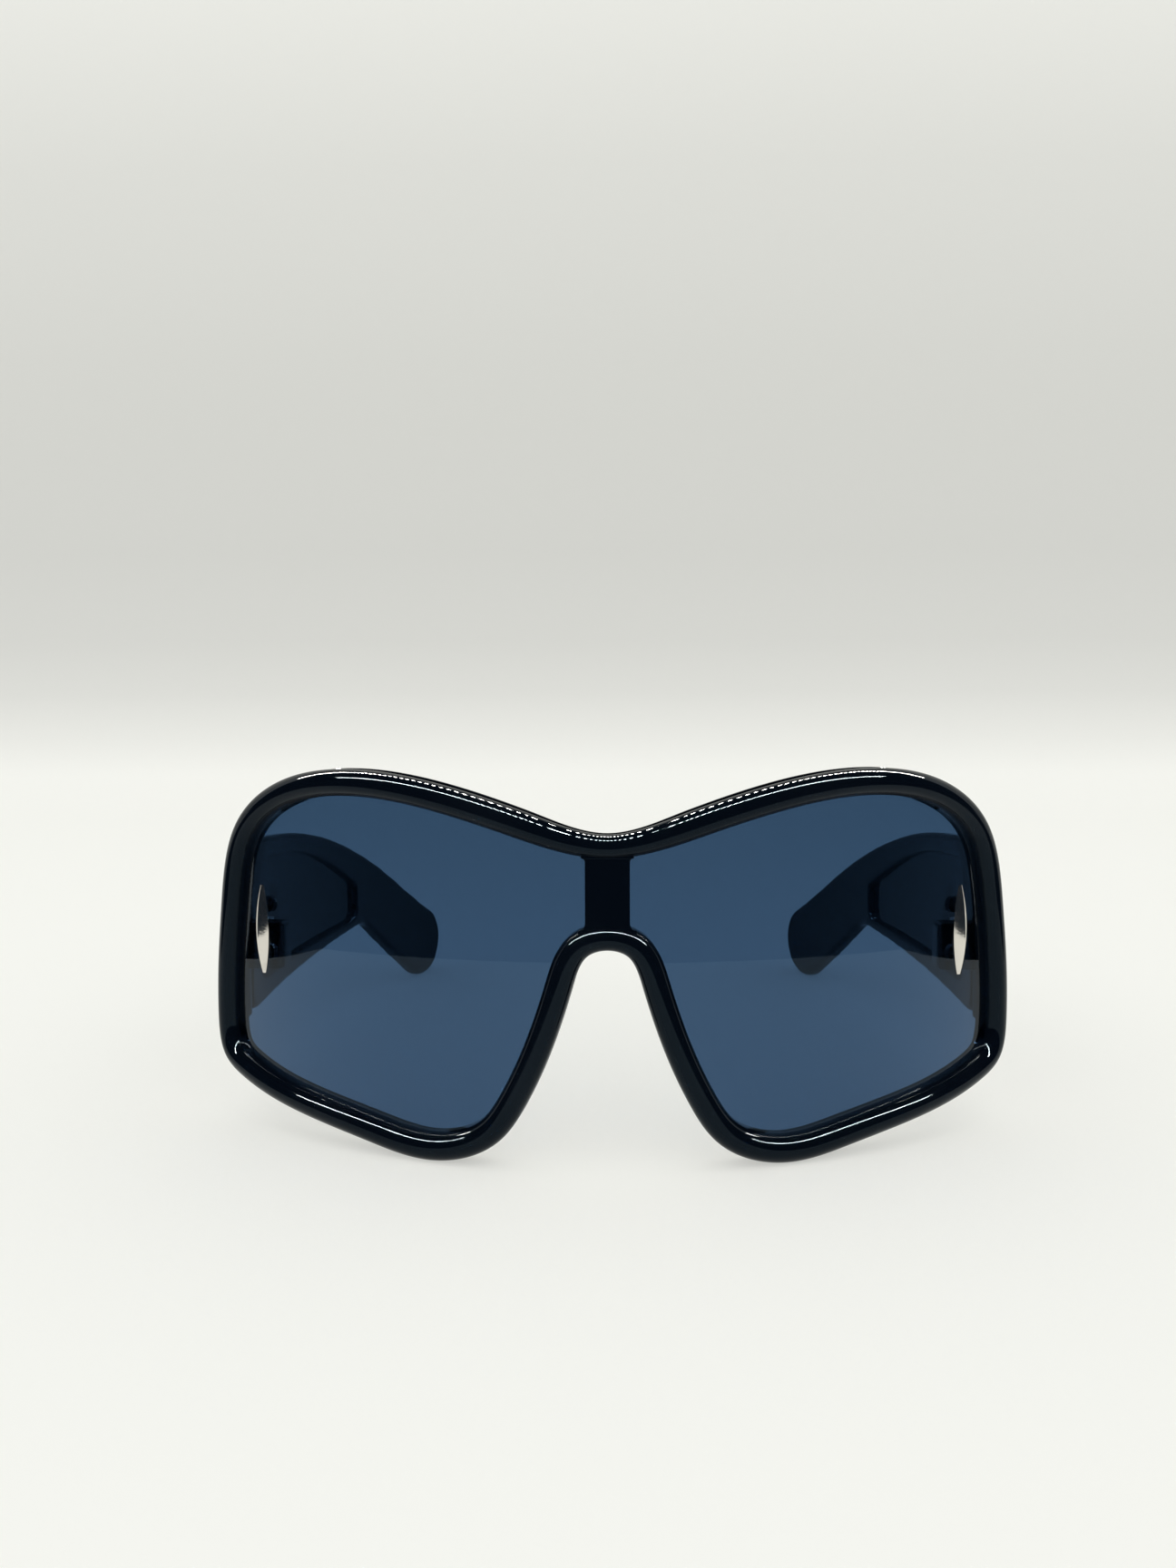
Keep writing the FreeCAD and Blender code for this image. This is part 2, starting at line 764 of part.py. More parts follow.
def plan_corners(shift, side, far):
    """Waste beside a temple in plan: from the temple's face at a shift to a far line."""
    root = temple_inner_x + shift
    tip = tip_inner_x + shift
    start = butt_y - size("temple_thickness")
    end = size("overall_depth") + size("temple_thickness")
    corners = [
        (root, start), (root, seat_end_y), (tip, size("overall_depth")),
        (tip, end), (far, end), (far, start),
    ]
    return [(across if side > 0 else -across, along) for across, along in corners]


def touch_angle(corner, tip, above):
    """Angle on the round tip where a straight line from a corner touches it, above or below."""
    reach = tip - corner
    heading = math.atan2(reach.y, reach.x)
    lean = math.pi / 2 + math.asin(size("tip_radius").value / reach.Length)
    return heading + lean if above else heading - lean


def temple_outline(body, name):
    """Side view of a temple: deep root, sloping brow, round tip on the table, bend at the ear."""
    sketch = body.newObject("Sketcher::SketchObject", name)
    support = [f for f in body.Origin.OriginFeatures if f.Role == "YZ_Plane"][0]
    sketch.AttachmentSupport = [(support, "")]
    sketch.MapMode = "FlatFace"
    corners = [
        (root_y, size("root_bottom")),
        (root_y, root_top),
        (brow_y, brow_height),
        (ear_y, ear_height),
    ]
    low_root, high_root, brow, bend = [Vector(a.value, b.value, 0) for a, b in corners]
    tip_y = size("overall_depth") - size("tip_radius")
    tip = Vector(tip_y.value, size("tip_radius").value, 0)
    circle = Part.Circle(tip, Vector(0, 0, 1), size("tip_radius").value)
    end = Part.ArcOfCircle(circle, touch_angle(bend, tip, False), touch_angle(brow, tip, True))
    for start, finish in ((low_root, high_root), (high_root, brow), (brow, end.EndPoint)):
        sketch.addGeometry(Part.LineSegment(start, finish))
    sketch.addGeometry(end)
    for start, finish in ((end.StartPoint, bend), (bend, low_root)):
        sketch.addGeometry(Part.LineSegment(start, finish))
    for first, second in ((0, 1), (1, 2), (4, 5), (5, 0)):
        sketch.addConstraint(Sketcher.Constraint("Coincident", first, 2, second, 1))
    sketch.addConstraint(Sketcher.Constraint("Tangent", 2, 2, 3, 2))
    sketch.addConstraint(Sketcher.Constraint("Tangent", 4, 1, 3, 1))
    pins = [(0, 1, corners[0]), (1, 1, corners[1]), (2, 1, corners[2]), (5, 1, corners[3])]
    pins.append((3, 3, (tip_y, size("tip_radius"))))
    for side, point, place in pins:
        for kind, amount in zip(("DistanceX", "DistanceY"), place):
            index = sketch.addConstraint(Sketcher.Constraint(kind, side, point, amount.value))
            bind(sketch, "Constraints[%d]" % index, amount)
    index = sketch.addConstraint(Sketcher.Constraint("Radius", 3, size("tip_radius").value))
    bind(sketch, "Constraints[%d]" % index, size("tip_radius"))
    return sketch


def edges_across(place_y, place_z):
    """Picks the edge that runs across the temple at a corner of its side view."""
    def wanted(edge):
        ends = [v.Point for v in edge.Vertexes]
        if not is_across(edge):
            return False
        return all(abs(p.y - place_y.value) < TOUCH and abs(p.z - place_z.value) < TOUCH for p in ends)
    return wanted


def along_the_faces(edge):
    """Picks the long edges between a temple's side faces and its outline."""
    return edge.BoundBox.YMax > root_y.value + size("root_round").value and not is_across(edge)


def is_across(edge):
    """Tells whether an edge runs square across the temple."""
    ends = [v.Point for v in edge.Vertexes]
    return len(ends) == 2 and abs(ends[0].y - ends[1].y) < TOUCH and abs(ends[0].z - ends[1].z) < TOUCH


def temple_blank(name, side):
    """Slab of the side view, rounded at its bends and cut to the plan curve on both faces."""
    body = doc.addObject("PartDesign::Body", name + "_temple_blank")
    thickness = size("temple_thickness")
    outside = temple_outer_x + thickness
    outline = temple_outline(body, name + "_temple_outline")
    pad(body, name + "_temple_pad", outline, outside, reverse=side < 0)
    bends = [
        ("brow", brow_y, brow_height, brow_round),
        ("ear", ear_y, ear_height, size("ear_bend_round")),
        ("root_low", root_y, size("root_bottom"), size("root_round")),
        ("root_high", root_y, root_top, size("root_round")),
    ]
    for place, along, up, radius in bends:
        round_edges(body, "%s_%s_round" % (name, place), edges_across(along, up), radius)
    bow = {1: (temple_bow_radius(), side > 0)}
    clear = size("overall_height") * 2
    faces = (("inner", as_size(0), as_size(0)), ("outer", thickness, outside + thickness))
    for face, shift, far in faces:
        title = "%s_%s" % (name, face)
        waste = outline_sketch(body, title + "_waste", "XY_Plane", plan_corners(shift, side, far), bow)
        pocket(body, title + "_face", waste, clear)
    return body


def round_the_panel(blank, hollow):
    """Picks the edges where the recess opens in the inner face, behind the hinge pad."""
    doc.recompute()
    skins = [Part.Compound(thing.Shape.Shells) for thing in (blank, hollow)]

    def on_both(point):
        return all(Part.Vertex(point).distToShape(skin)[0] < TOUCH for skin in skins)

    def wanted(edge):
        middle = edge.valueAt((edge.FirstParameter + edge.LastParameter) / 2)
        points = [middle] + [v.Point for v in edge.Vertexes]
        return middle.y > pad_end_y.value and all(on_both(point) for point in points)
    return wanted


def temple(name, side):
    body = temple_blank(name, side)
    round_edges(body, name + "_edge_round", along_the_faces, size("temple_edge_round"))

    # Recessed panel of the inner face, with a pad left standing under the hinge
    panel_front = butt_y + size("panel_front_reach")
    panel_back = butt_y + size("panel_back_reach")
    back_low = ear_height + size("panel_back_border")
    corners = [
        (panel_front, size("root_bottom") + size("panel_border")),
        (panel_back, back_low),
        (panel_back, back_low + size("panel_back_height")),
        (butt_y + size("panel_peak_reach"), brow_height - size("panel_peak_border")),
        (panel_front, root_top - size("panel_top_border")),
    ]
    small = size("panel_corner_round")
    rounds = [small, small, small, size("panel_peak_round"), size("panel_round")]
    prism = doc.addObject("PartDesign::Body", name + "_panel_prism")
    outline = outline_sketch(prism, name + "_panel_outline", "YZ_Plane", corners)
    pad(prism, name + "_panel_pad", outline, temple_outer_x, reverse=side < 0)
    for number, (place, radius) in enumerate(zip(corners, rounds), start=1):
        round_edges(prism, "%s_panel_round_%d" % (name, number), edges_across(*place), radius)
    strip = doc.addObject("PartDesign::Body", name + "_panel_strip")
    plan = outline_sketch(
        strip, name + "_panel_plan", "XY_Plane", plan_corners(size("panel_depth"), side, as_size(0)),
        {1: (temple_bow_radius(), side > 0)},
    )
    pad(strip, name + "_panel_strip_pad", plan, size("overall_height") * 2, two_sided=True)
    recess = doc.addObject("Part::Common", name + "_panel_recess")
    recess.Base = prism
    recess.Tool = strip
    wall = size("boss_wall")
    hinge_pad = box(
        name + "_hinge_pad", as_size(0), butt_y, leaf_bottom - wall,
        temple_outer_x, size("hinge_pad_length"), size("leaf_height") + wall * 2, side,
    )
    hollow = cut(name + "_panel_hollow", recess, hinge_pad)

    # Seat of the hinge leaf
    room = size("seat_clearance")
    low_y = pivot_y - size("knuckle_radius") / 2
    seat = box(
        name + "_leaf_seat", temple_inner_x - size("leaf_thickness"), low_y - room, leaf_bottom - room,
        size("leaf_thickness") * 2 + room, size("temple_leaf_length") + room * 2,
        size("leaf_height") + room * 2, side,
    )
    carved = cut(name + "_temple_carved", body, fuse(name + "_temple_cuts", [hollow, seat]))
    soft = doc.addObject("PartDesign::Body", name + "_temple")
    soft.BaseFeature = carved
    round_edges(soft, name + "_panel_edge_round", round_the_panel(body, hollow), size("panel_edge_round"))
    return to_origin(soft)


# Assembly
nodes = [front_frame(), shield_lens()]
for name, side in SIDES.items():
    nodes += [
        stud(name, side),
        stud_retainers(name, side),
        front_hinge(name, side),
        temple_hinge(name, side),
        hinge_screw(name, side),
        temple(name, side),
    ]
doc.recompute()

faults = [item.Label for item in doc.Objects if "Invalid" in item.State or "Error" in item.State]
faults += [node.Label for node in nodes if node.Shape.isNull() or not node.Shape.isValid()]
if faults:
    raise RuntimeError("these pieces failed: " + ", ".join(faults))

os.makedirs("parts", exist_ok=True)
for node in nodes:
    node.Shape.exportStep("parts/%s.step" % node.Label)
    box_of = node.Shape.BoundBox
    print("%-24s solids %d volume %9.2f  x %7.2f..%7.2f  y %7.2f..%7.2f  z %6.2f..%6.2f" % (
        node.Label, len(node.Shape.Solids), node.Shape.Volume,
        box_of.XMin, box_of.XMax, box_of.YMin, box_of.YMax, box_of.ZMin, box_of.ZMax,
    ))
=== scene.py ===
# %% [markdown]
# Shield sunglasses
#
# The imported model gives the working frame: a front, two folding arms and the small hardware, all at
# their real size. This lesson dresses that frame. It lights a small studio, mixes the finishes, and
# models again, with smoother meshes, the pieces whose gloss shows every facet. Sizes of the studio
# are in metres; the camera's place and the sizes of the sunglasses are in millimetres.

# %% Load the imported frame
import json
import math
import bpy
import numpy as np
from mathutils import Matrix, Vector


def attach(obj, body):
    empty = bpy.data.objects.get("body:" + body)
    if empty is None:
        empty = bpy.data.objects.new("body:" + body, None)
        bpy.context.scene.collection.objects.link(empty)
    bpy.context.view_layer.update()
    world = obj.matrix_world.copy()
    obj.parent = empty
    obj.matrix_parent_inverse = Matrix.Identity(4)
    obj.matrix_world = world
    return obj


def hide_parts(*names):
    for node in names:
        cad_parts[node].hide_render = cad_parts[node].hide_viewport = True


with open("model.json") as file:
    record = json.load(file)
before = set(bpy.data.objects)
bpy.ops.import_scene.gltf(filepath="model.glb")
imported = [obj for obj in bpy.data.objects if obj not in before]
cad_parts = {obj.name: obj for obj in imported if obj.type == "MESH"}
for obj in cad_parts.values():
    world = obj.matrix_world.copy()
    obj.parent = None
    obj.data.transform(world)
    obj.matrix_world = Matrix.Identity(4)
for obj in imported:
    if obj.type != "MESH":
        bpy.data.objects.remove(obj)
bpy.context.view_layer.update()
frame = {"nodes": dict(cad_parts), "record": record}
MM = 0.001
print("nodes:", ", ".join(sorted(frame["nodes"])))

# %% [markdown]
# Camera
#
# The photograph was taken from close by with a wide lens: the horizon lies above the object and the
# temples shrink quickly towards their tips. A longer lens from further away would draw them too large.
# A camera 0.27 m in front of the middle, a little above the brow and tipped down by four degrees,
# gives the same view.

# %% Camera
FOCAL_LENGTH = 26.88
SENSOR_WIDTH = 36.0
CAMERA_PLACE = (1.89, -264.79, 79.43)
CAMERA_TURN = (85.70, 0.228, 1.487)

camera_data = bpy.data.cameras.new("camera")
camera_data.lens = FOCAL_LENGTH
camera_data.sensor_width = SENSOR_WIDTH
camera = bpy.data.objects.new("camera", camera_data)
bpy.context.scene.collection.objects.link(camera)
camera.location = [value * MM for value in CAMERA_PLACE]
camera.rotation_euler = [math.radians(degrees) for degrees in CAMERA_TURN]
bpy.context.scene.camera = camera
bpy.context.scene.view_settings.view_transform = "Standard"
print("camera at", [round(value, 3) for value in camera.location])

# %% [markdown]
# Small helpers
#
# Operators act on whatever is selected, so a piece is picked alone before each step. Its points, edges
# or faces are selected by a test on where they lie or look, because their numbers change with every
# cut. Finished pieces keep their place in the mesh, with the object itself at the origin.


# %% Picking and selecting
def pick(piece):
    """Selects one object alone and makes it the active one."""
    bpy.ops.object.select_all(action="DESELECT")
    piece.select_set(True)
    bpy.context.view_layer.objects.active = piece


def select_where(piece, kind, wanted):
    """Enters edit mode with just the points, edges or faces selected that the test picks."""
    pick(piece)
    bpy.ops.object.mode_set(mode="EDIT")
    bpy.ops.mesh.select_mode(type=kind)
    bpy.ops.mesh.select_all(action="DESELECT")
    bpy.ops.object.mode_set(mode="OBJECT")
    mesh = piece.data
    elements = {"VERT": mesh.vertices, "EDGE": mesh.edges, "FACE": mesh.polygons}[kind]
    for element in elements:
        element.select = wanted(element)
    bpy.ops.object.mode_set(mode="EDIT")


def ends_of(piece, edge):
    """The places of an edge's two points."""
    return [piece.data.vertices[number].co for number in edge.vertices]


print("helpers for selecting ready")


# %% Cutting and finishing
def settle(piece):
    """Moves the object's place, turn and scale into its mesh."""
    pick(piece)
    bpy.ops.object.transform_apply(location=True, rotation=True, scale=True)


def cut(piece, place, way, drop=True):
    """Cuts a piece along a plane and, unless told not to, drops the side that way points to."""
    pick(piece)
    bpy.ops.object.mode_set(mode="EDIT")
    bpy.ops.mesh.select_all(action="SELECT")
    bpy.ops.mesh.bisect(plane_co=place, plane_no=way, clear_outer=drop)
    bpy.ops.object.mode_set(mode="OBJECT")


def apply_modifier(piece, kind, **settings):
    """Adds a modifier with its settings and applies it."""
    pick(piece)
    modifier = piece.modifiers.new(kind.lower(), kind)
    for setting, value in settings.items():
        setattr(modifier, setting, value)
    bpy.ops.object.modifier_apply(modifier=modifier.name)


def smooth(piece, degrees):
    """Smooth shading that keeps edges sharper than the angle."""
    pick(piece)
    bpy.ops.object.shade_smooth_by_angle(angle=math.radians(degrees))


def wear(piece, body, material):
    """Gives a finished piece its body and its finish."""
    piece.data.materials.clear()
    piece.data.materials.append(material)
    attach(piece, body)


print("helpers for cutting and finishing ready")

# %% [markdown]
# Studio: floor and cove
#
# The sunglasses stand on a pale sheet of paper that rises into a wall behind them, so that no corner
# shows. A modifier could bend it. Here the back edge of a plane is extruded along the curve of the
# cove, step by step, which keeps its radius exact.

# %% Floor and cove
SHEET_SEAM = -0.03
SHEET_HALF = 4.0
COVE_START = 0.5
COVE_RADIUS = 0.33
COVE_STEPS = 16
COVE_SMOOTH = 35
WALL_TOP = 1.3


def flat_sheet(name, half, front, back, height):
    """A level rectangular sheet, given by half its width and its front and back edges."""
    bpy.ops.object.select_all(action="DESELECT")
    bpy.ops.mesh.primitive_plane_add(size=1.0)
    sheet = bpy.context.object
    sheet.name = name
    sheet.scale = (half * 2, back - front, 1.0)
    sheet.location = (0.0, (back + front) / 2, height)
    settle(sheet)
    return sheet


back_sheet = flat_sheet("back_sheet", SHEET_HALF, SHEET_SEAM, COVE_START, 0.0)
select_where(
    back_sheet, "EDGE",
    lambda edge: all(end.y > COVE_START - MM for end in ends_of(back_sheet, edge)),
)
turns = np.linspace(0.0, math.pi / 2, COVE_STEPS + 1)
along = COVE_RADIUS * np.sin(turns)
up = COVE_RADIUS * (1.0 - np.cos(turns))
moves = list(zip(np.diff(along), np.diff(up))) + [(0.0, WALL_TOP - COVE_RADIUS)]
for step, rise in moves:
    bpy.ops.mesh.extrude_region_move(TRANSFORM_OT_translate={"value": (0.0, step, rise)})
bpy.ops.object.mode_set(mode="OBJECT")
smooth(back_sheet, COVE_SMOOTH)
print("back sheet:", len(back_sheet.data.polygons), "faces")

# %% [markdown]
# In front, the sheet ends in a round edge. The lower half of the pane mirrors this edge, so it has to
# be there. A drawn outline could be filled, but a filled circle is quicker: it is cut straight behind,
# where the back sheet takes over, and straight at both sides. Other views still need floor under them,
# so a wider sheet lies a hair below it, seen by the camera and by soft light, but not by mirrors.

# %% Round front of the sheet
ROUND_RADIUS = 0.246
ROUND_CENTRE = 0.02
ROUND_HALF = 0.207
ROUND_POINTS = 96
FLOOR_FRONT = -4.0
FLOOR_OVERLAP = 0.03
HAIR = 0.00005

bpy.ops.object.select_all(action="DESELECT")
bpy.ops.mesh.primitive_circle_add(
    vertices=ROUND_POINTS, radius=ROUND_RADIUS, fill_type="NGON", location=(0.0, ROUND_CENTRE, 0.0),
)
round_sheet = bpy.context.object
round_sheet.name = "round_sheet"
settle(round_sheet)
cut(round_sheet, (0.0, SHEET_SEAM, 0.0), (0.0, 1.0, 0.0))
for side in (1.0, -1.0):
    cut(round_sheet, (side * ROUND_HALF, 0.0, 0.0), (side, 0.0, 0.0))
front_floor = flat_sheet("front_floor", SHEET_HALF, FLOOR_FRONT, SHEET_SEAM + FLOOR_OVERLAP, -HAIR)
front_floor.visible_glossy = False
print("round sheet:", len(round_sheet.data.vertices), "points; floor from y =", FLOOR_FRONT)

# %% [markdown]
# Paper
#
# The paper is nearly white on the floor, and painted shade makes it greyer up the wall; this painted
# shade gives the soft grey band across the backdrop. A lamp with a falloff could shade it, but a colour
# ramp that reads the height is easier to match to a photograph. Each tone is a height in metres and a
# grey level.

# %% Paper tones, with painted shade up the wall
PAPER_SHADE_TONES = (
    (0.00, 0.955), (0.021, 0.95), (0.046, 0.855), (0.082, 0.75), (0.128, 0.69),
    (0.21, 0.665), (0.39, 0.69), (0.56, 0.745), (0.71, 0.84),
)
PAPER_WARMTH = (0.995, 1.0, 0.955)
PAPER_ROUGHNESS = 0.6


def along_axis(material, axis):
    """The Object coordinate of a surface along one axis, as an output of its nodes."""
    nodes, links = material.node_tree.nodes, material.node_tree.links
    place = nodes.new("ShaderNodeTexCoord")
    split = nodes.new("ShaderNodeSeparateXYZ")
    links.new(place.outputs["Object"], split.inputs[0])
    return split.outputs[axis]


paper = bpy.data.materials.new("paper")
paper.use_nodes = True
nodes, links = paper.node_tree.nodes, paper.node_tree.links
lit_paper = nodes["Principled BSDF"]
lit_paper.inputs["Roughness"].default_value = PAPER_ROUGHNESS
lit_paper.inputs["Specular IOR Level"].default_value = 0.0
# The ramp paints shade on the paper up the wall, in place of the falloff of the light.
tone = nodes.new("ShaderNodeValToRGB")
links.new(along_axis(paper, "Z"), tone.inputs[0])
while len(tone.color_ramp.elements) < len(PAPER_SHADE_TONES):
    tone.color_ramp.elements.new(1.0)
for stop, (height, level) in zip(tone.color_ramp.elements, PAPER_SHADE_TONES):
    stop.position = height
    stop.color = [level * warmth for warmth in PAPER_WARMTH] + [1.0]
links.new(tone.outputs["Color"], lit_paper.inputs["Base Color"])
print("paper:", len(PAPER_SHADE_TONES), "tones up the wall")

# %% [markdown]
# Under wide soft lamps, paper is almost free of shadows. Here half of its brightness is a glow in its
# own colour, and the other half is lit paper, which keeps the shadow under the rim. Only the camera,
# mirrors and glass see the glow, so it puts no extra light on the sunglasses.

# %% Paper glow
GLOW_SHARE = 0.5


def math_node(nodes, operation, second=None):
    """A math node with its operation and, where that is a fixed number, its second value."""
    node = nodes.new("ShaderNodeMath")
    node.operation = operation
    if second is not None:
        node.inputs[1].default_value = second
    return node


path = nodes.new("ShaderNodeLightPath")
seen = math_node(nodes, "MAXIMUM")
seen_through = math_node(nodes, "MAXIMUM")
share = math_node(nodes, "MULTIPLY", GLOW_SHARE)
glow = nodes.new("ShaderNodeEmission")
blend = nodes.new("ShaderNodeMixShader")
links.new(path.outputs["Is Camera Ray"], seen.inputs[0])
links.new(path.outputs["Is Glossy Ray"], seen.inputs[1])
links.new(seen.outputs[0], seen_through.inputs[0])
links.new(path.outputs["Is Transmission Ray"], seen_through.inputs[1])
links.new(seen_through.outputs[0], share.inputs[0])
links.new(tone.outputs["Color"], glow.inputs["Color"])
links.new(share.outputs[0], blend.inputs["Fac"])
links.new(lit_paper.outputs[0], blend.inputs[1])
links.new(glow.outputs[0], blend.inputs[2])
links.new(blend.outputs[0], nodes["Material Output"].inputs["Surface"])
for sheet in (back_sheet, round_sheet, front_floor):
    sheet.data.materials.append(paper)
print("paper glow:", GLOW_SHARE)

# %% [markdown]
# Studio: light and dark cards
#
# A plain white world lights everything evenly, so colours render as they are written. Polished dark
# plastic then looks grey, because it mirrors white from all sides. Photographers put black cards round
# a glossy object to get the black back: here a curved one stands round the front and the sides, one
# hangs overhead, and one lies just under the floor, where mirrors see it beyond the round sheet. The
# cards are seen by mirrors only.

# %% World and cloth
WORLD_COLOUR = (1.0, 1.0, 0.99, 1.0)
CLOTH_COLOUR = (0.012, 0.018, 0.028, 1.0)

world = bpy.data.worlds.new("studio")
bpy.context.scene.world = world
world.use_nodes = True
sky = world.node_tree.nodes["Background"]
sky.inputs["Color"].default_value = WORLD_COLOUR
sky.inputs["Strength"].default_value = 1.0
black_card = bpy.data.materials.new("black_card")
black_card.use_nodes = True
cloth = black_card.node_tree.nodes["Principled BSDF"]
cloth.inputs["Base Color"].default_value = CLOTH_COLOUR
cloth.inputs["Roughness"].default_value = 1.0
cloth.inputs["Specular IOR Level"].default_value = 0.0
print("world:", world.name, "and cloth:", black_card.name)

# %% Dark cards
CURVED_CARD_RADIUS = 1.2
CURVED_CARD_HEIGHT = 2.0
CURVED_CARD_MIDDLE = 0.9
CURVED_CARD_BACK = 0.08
CURVED_CARD_POINTS = 96
FLAT_CARD_HALF = 1.3
FLAT_CARD_FRONT = -1.3
UPPER_CARD_BACK = 0.62
UPPER_CARD_HEIGHT = 1.05
LOWER_CARD_DEPTH = 20 * HAIR


def seen_by_mirrors_only(piece, material):
    """Gives a studio piece its material and hides it from everything but reflections."""
    piece.data.materials.append(material)
    piece.visible_camera = False
    piece.visible_diffuse = False
    piece.visible_transmission = False
    piece.visible_volume_scatter = False
    piece.visible_shadow = False


bpy.ops.object.select_all(action="DESELECT")
bpy.ops.mesh.primitive_cylinder_add(
    vertices=CURVED_CARD_POINTS, radius=CURVED_CARD_RADIUS, depth=CURVED_CARD_HEIGHT,
    end_fill_type="NOTHING", location=(0.0, 0.0, CURVED_CARD_MIDDLE),
)
curved_card = bpy.context.object
curved_card.name = "curved_card"
settle(curved_card)
cut(curved_card, (0.0, CURVED_CARD_BACK, 0.0), (0.0, 1.0, 0.0))
upper_card = flat_sheet("upper_card", FLAT_CARD_HALF, FLAT_CARD_FRONT, UPPER_CARD_BACK, UPPER_CARD_HEIGHT)
lower_card = flat_sheet("lower_card", FLAT_CARD_HALF, FLAT_CARD_FRONT, SHEET_SEAM, -LOWER_CARD_DEPTH)
for card in (curved_card, upper_card, lower_card):
    seen_by_mirrors_only(card, black_card)
print("cards: curved, upper and lower")

# %% [markdown]
# Two rows of small warm lamps hang below the upper card, one behind the sunglasses and one in front of
# them. Only mirrors see them, so they light nothing, but a polished rim draws each lamp as a bright
# dash. Single lamps would be many objects. One strip makes a whole row, because its material glows in
# even steps along the strip.

# %% Lamp rows
LAMP_PITCH = 0.018
LAMP_DARK_SHARE = 0.56
LAMP_COLOUR = (1.0, 0.87, 0.75, 1.0)
LAMP_STRENGTH = 620.0
LAMP_HEIGHT = 0.62
LAMP_ROWS = ((0.165, 0.2), (-0.35, -0.31))
LAMP_ROW_HALF = 0.9

lamp_light = bpy.data.materials.new("lamp_row")
lamp_light.use_nodes = True
nodes, links = lamp_light.node_tree.nodes, lamp_light.node_tree.links
nodes.remove(nodes["Principled BSDF"])
lamp = nodes.new("ShaderNodeEmission")
lamp.inputs["Color"].default_value = LAMP_COLOUR
pulse = math_node(nodes, "PINGPONG", LAMP_PITCH / 2)
gate = math_node(nodes, "GREATER_THAN", LAMP_PITCH / 2 * LAMP_DARK_SHARE)
power = math_node(nodes, "MULTIPLY", LAMP_STRENGTH)
links.new(along_axis(lamp_light, "X"), pulse.inputs[0])
links.new(pulse.outputs[0], gate.inputs[0])
links.new(gate.outputs[0], power.inputs[0])
links.new(power.outputs[0], lamp.inputs["Strength"])
links.new(lamp.outputs[0], nodes["Material Output"].inputs["Surface"])
for number, (row_front, row_back) in enumerate(LAMP_ROWS):
    row = flat_sheet("lamp_row_%d" % number, LAMP_ROW_HALF, row_front, row_back, LAMP_HEIGHT)
    seen_by_mirrors_only(row, lamp_light)
print("lamp rows:", len(LAMP_ROWS), "with one lamp every", round(LAMP_PITCH / MM, 1), "mm")

# %% [markdown]
# Finishes: handling marks
#
# The sunglasses are polished moulded plastic, a tinted pane, polished metal studs and plated steel.
# What most of these share is use: soft hazy patches from handling and faint hairlines from wiping.
# Both could be painted; here one node group makes them from noise for every finish but the steel. It
# reads Object coordinates, so the marks stay where they are when a temple folds.

# %% Hazy patches
HAZE_FROM, HAZE_TO = 0.45, 0.75

marks = bpy.data.node_groups.new("handling marks", "ShaderNodeTree")
marks.interface.new_socket("Size", in_out="INPUT", socket_type="NodeSocketFloat")
marks.interface.new_socket("Haze", in_out="OUTPUT", socket_type="NodeSocketFloat")
marks.interface.new_socket("Hairlines", in_out="OUTPUT", socket_type="NodeSocketFloat")
nodes, links = marks.nodes, marks.links
group_in = nodes.new("NodeGroupInput")
group_out = nodes.new("NodeGroupOutput")
place = nodes.new("ShaderNodeTexCoord")
haze = nodes.new("ShaderNodeTexNoise")
haze.inputs["Detail"].default_value = 3.0
haze.inputs["Roughness"].default_value = 0.55
links.new(place.outputs["Object"], haze.inputs["Vector"])
links.new(group_in.outputs["Size"], haze.inputs["Scale"])
haze_range = nodes.new("ShaderNodeMapRange")
haze_range.interpolation_type = "SMOOTHSTEP"
haze_range.inputs["From Min"].default_value = HAZE_FROM
haze_range.inputs["From Max"].default_value = HAZE_TO
links.new(haze.outputs["Fac"], haze_range.inputs["Value"])
links.new(haze_range.outputs[0], group_out.inputs["Haze"])
print("haze in node group:", marks.name)

# %% [markdown]
# A hairline is long and thin, so its noise is stretched: it changes slowly along one slanted line and
# quickly across it. Only the highest strands of that noise count.

# %% Hairlines
HAIRLINE_LEAN = (0.3, 0.5, 0.9)
HAIRLINE_STRETCH = (40.0, 1800.0, 1800.0)
HAIRLINE_FROM, HAIRLINE_TO = 0.62, 0.8

lean = nodes.new("ShaderNodeMapping")
lean.inputs["Rotation"].default_value = HAIRLINE_LEAN
lean.inputs["Scale"].default_value = HAIRLINE_STRETCH
links.new(place.outputs["Object"], lean.inputs["Vector"])
strands = nodes.new("ShaderNodeTexNoise")
strands.inputs["Scale"].default_value = 1.0
strands.inputs["Detail"].default_value = 2.0
links.new(lean.outputs["Vector"], strands.inputs["Vector"])
strand_range = nodes.new("ShaderNodeMapRange")
strand_range.inputs["From Min"].default_value = HAIRLINE_FROM
strand_range.inputs["From Max"].default_value = HAIRLINE_TO
links.new(strands.outputs["Fac"], strand_range.inputs["Value"])
links.new(strand_range.outputs[0], group_out.inputs["Hairlines"])
print("hairlines in node group:", marks.name)

# %% [markdown]
# Finishes: shared steps
#
# Every finish is one principled shader. What is the same all over is set on its sockets. What changes
# over the surface starts as a mask from 0 to 1, and the helpers below turn such a mask into a range of
# values, a mix of two tones or a small height.


# %% Shared steps of a finish
def new_finish(name, **sockets):
    """A principled material with the values that are the same all over set on its sockets."""
    material = bpy.data.materials.new(name)
    material.use_nodes = True
    shader = material.node_tree.nodes["Principled BSDF"]
    for socket, value in sockets.items():
        shader.inputs[socket.replace("_", " ")].default_value = value
    return material, shader


def add_marks(material, size):
    """Adds the handling marks to a material and returns their node."""
    node = material.node_tree.nodes.new("ShaderNodeGroup")
    node.node_tree = marks
    node.inputs["Size"].default_value = size
    return node


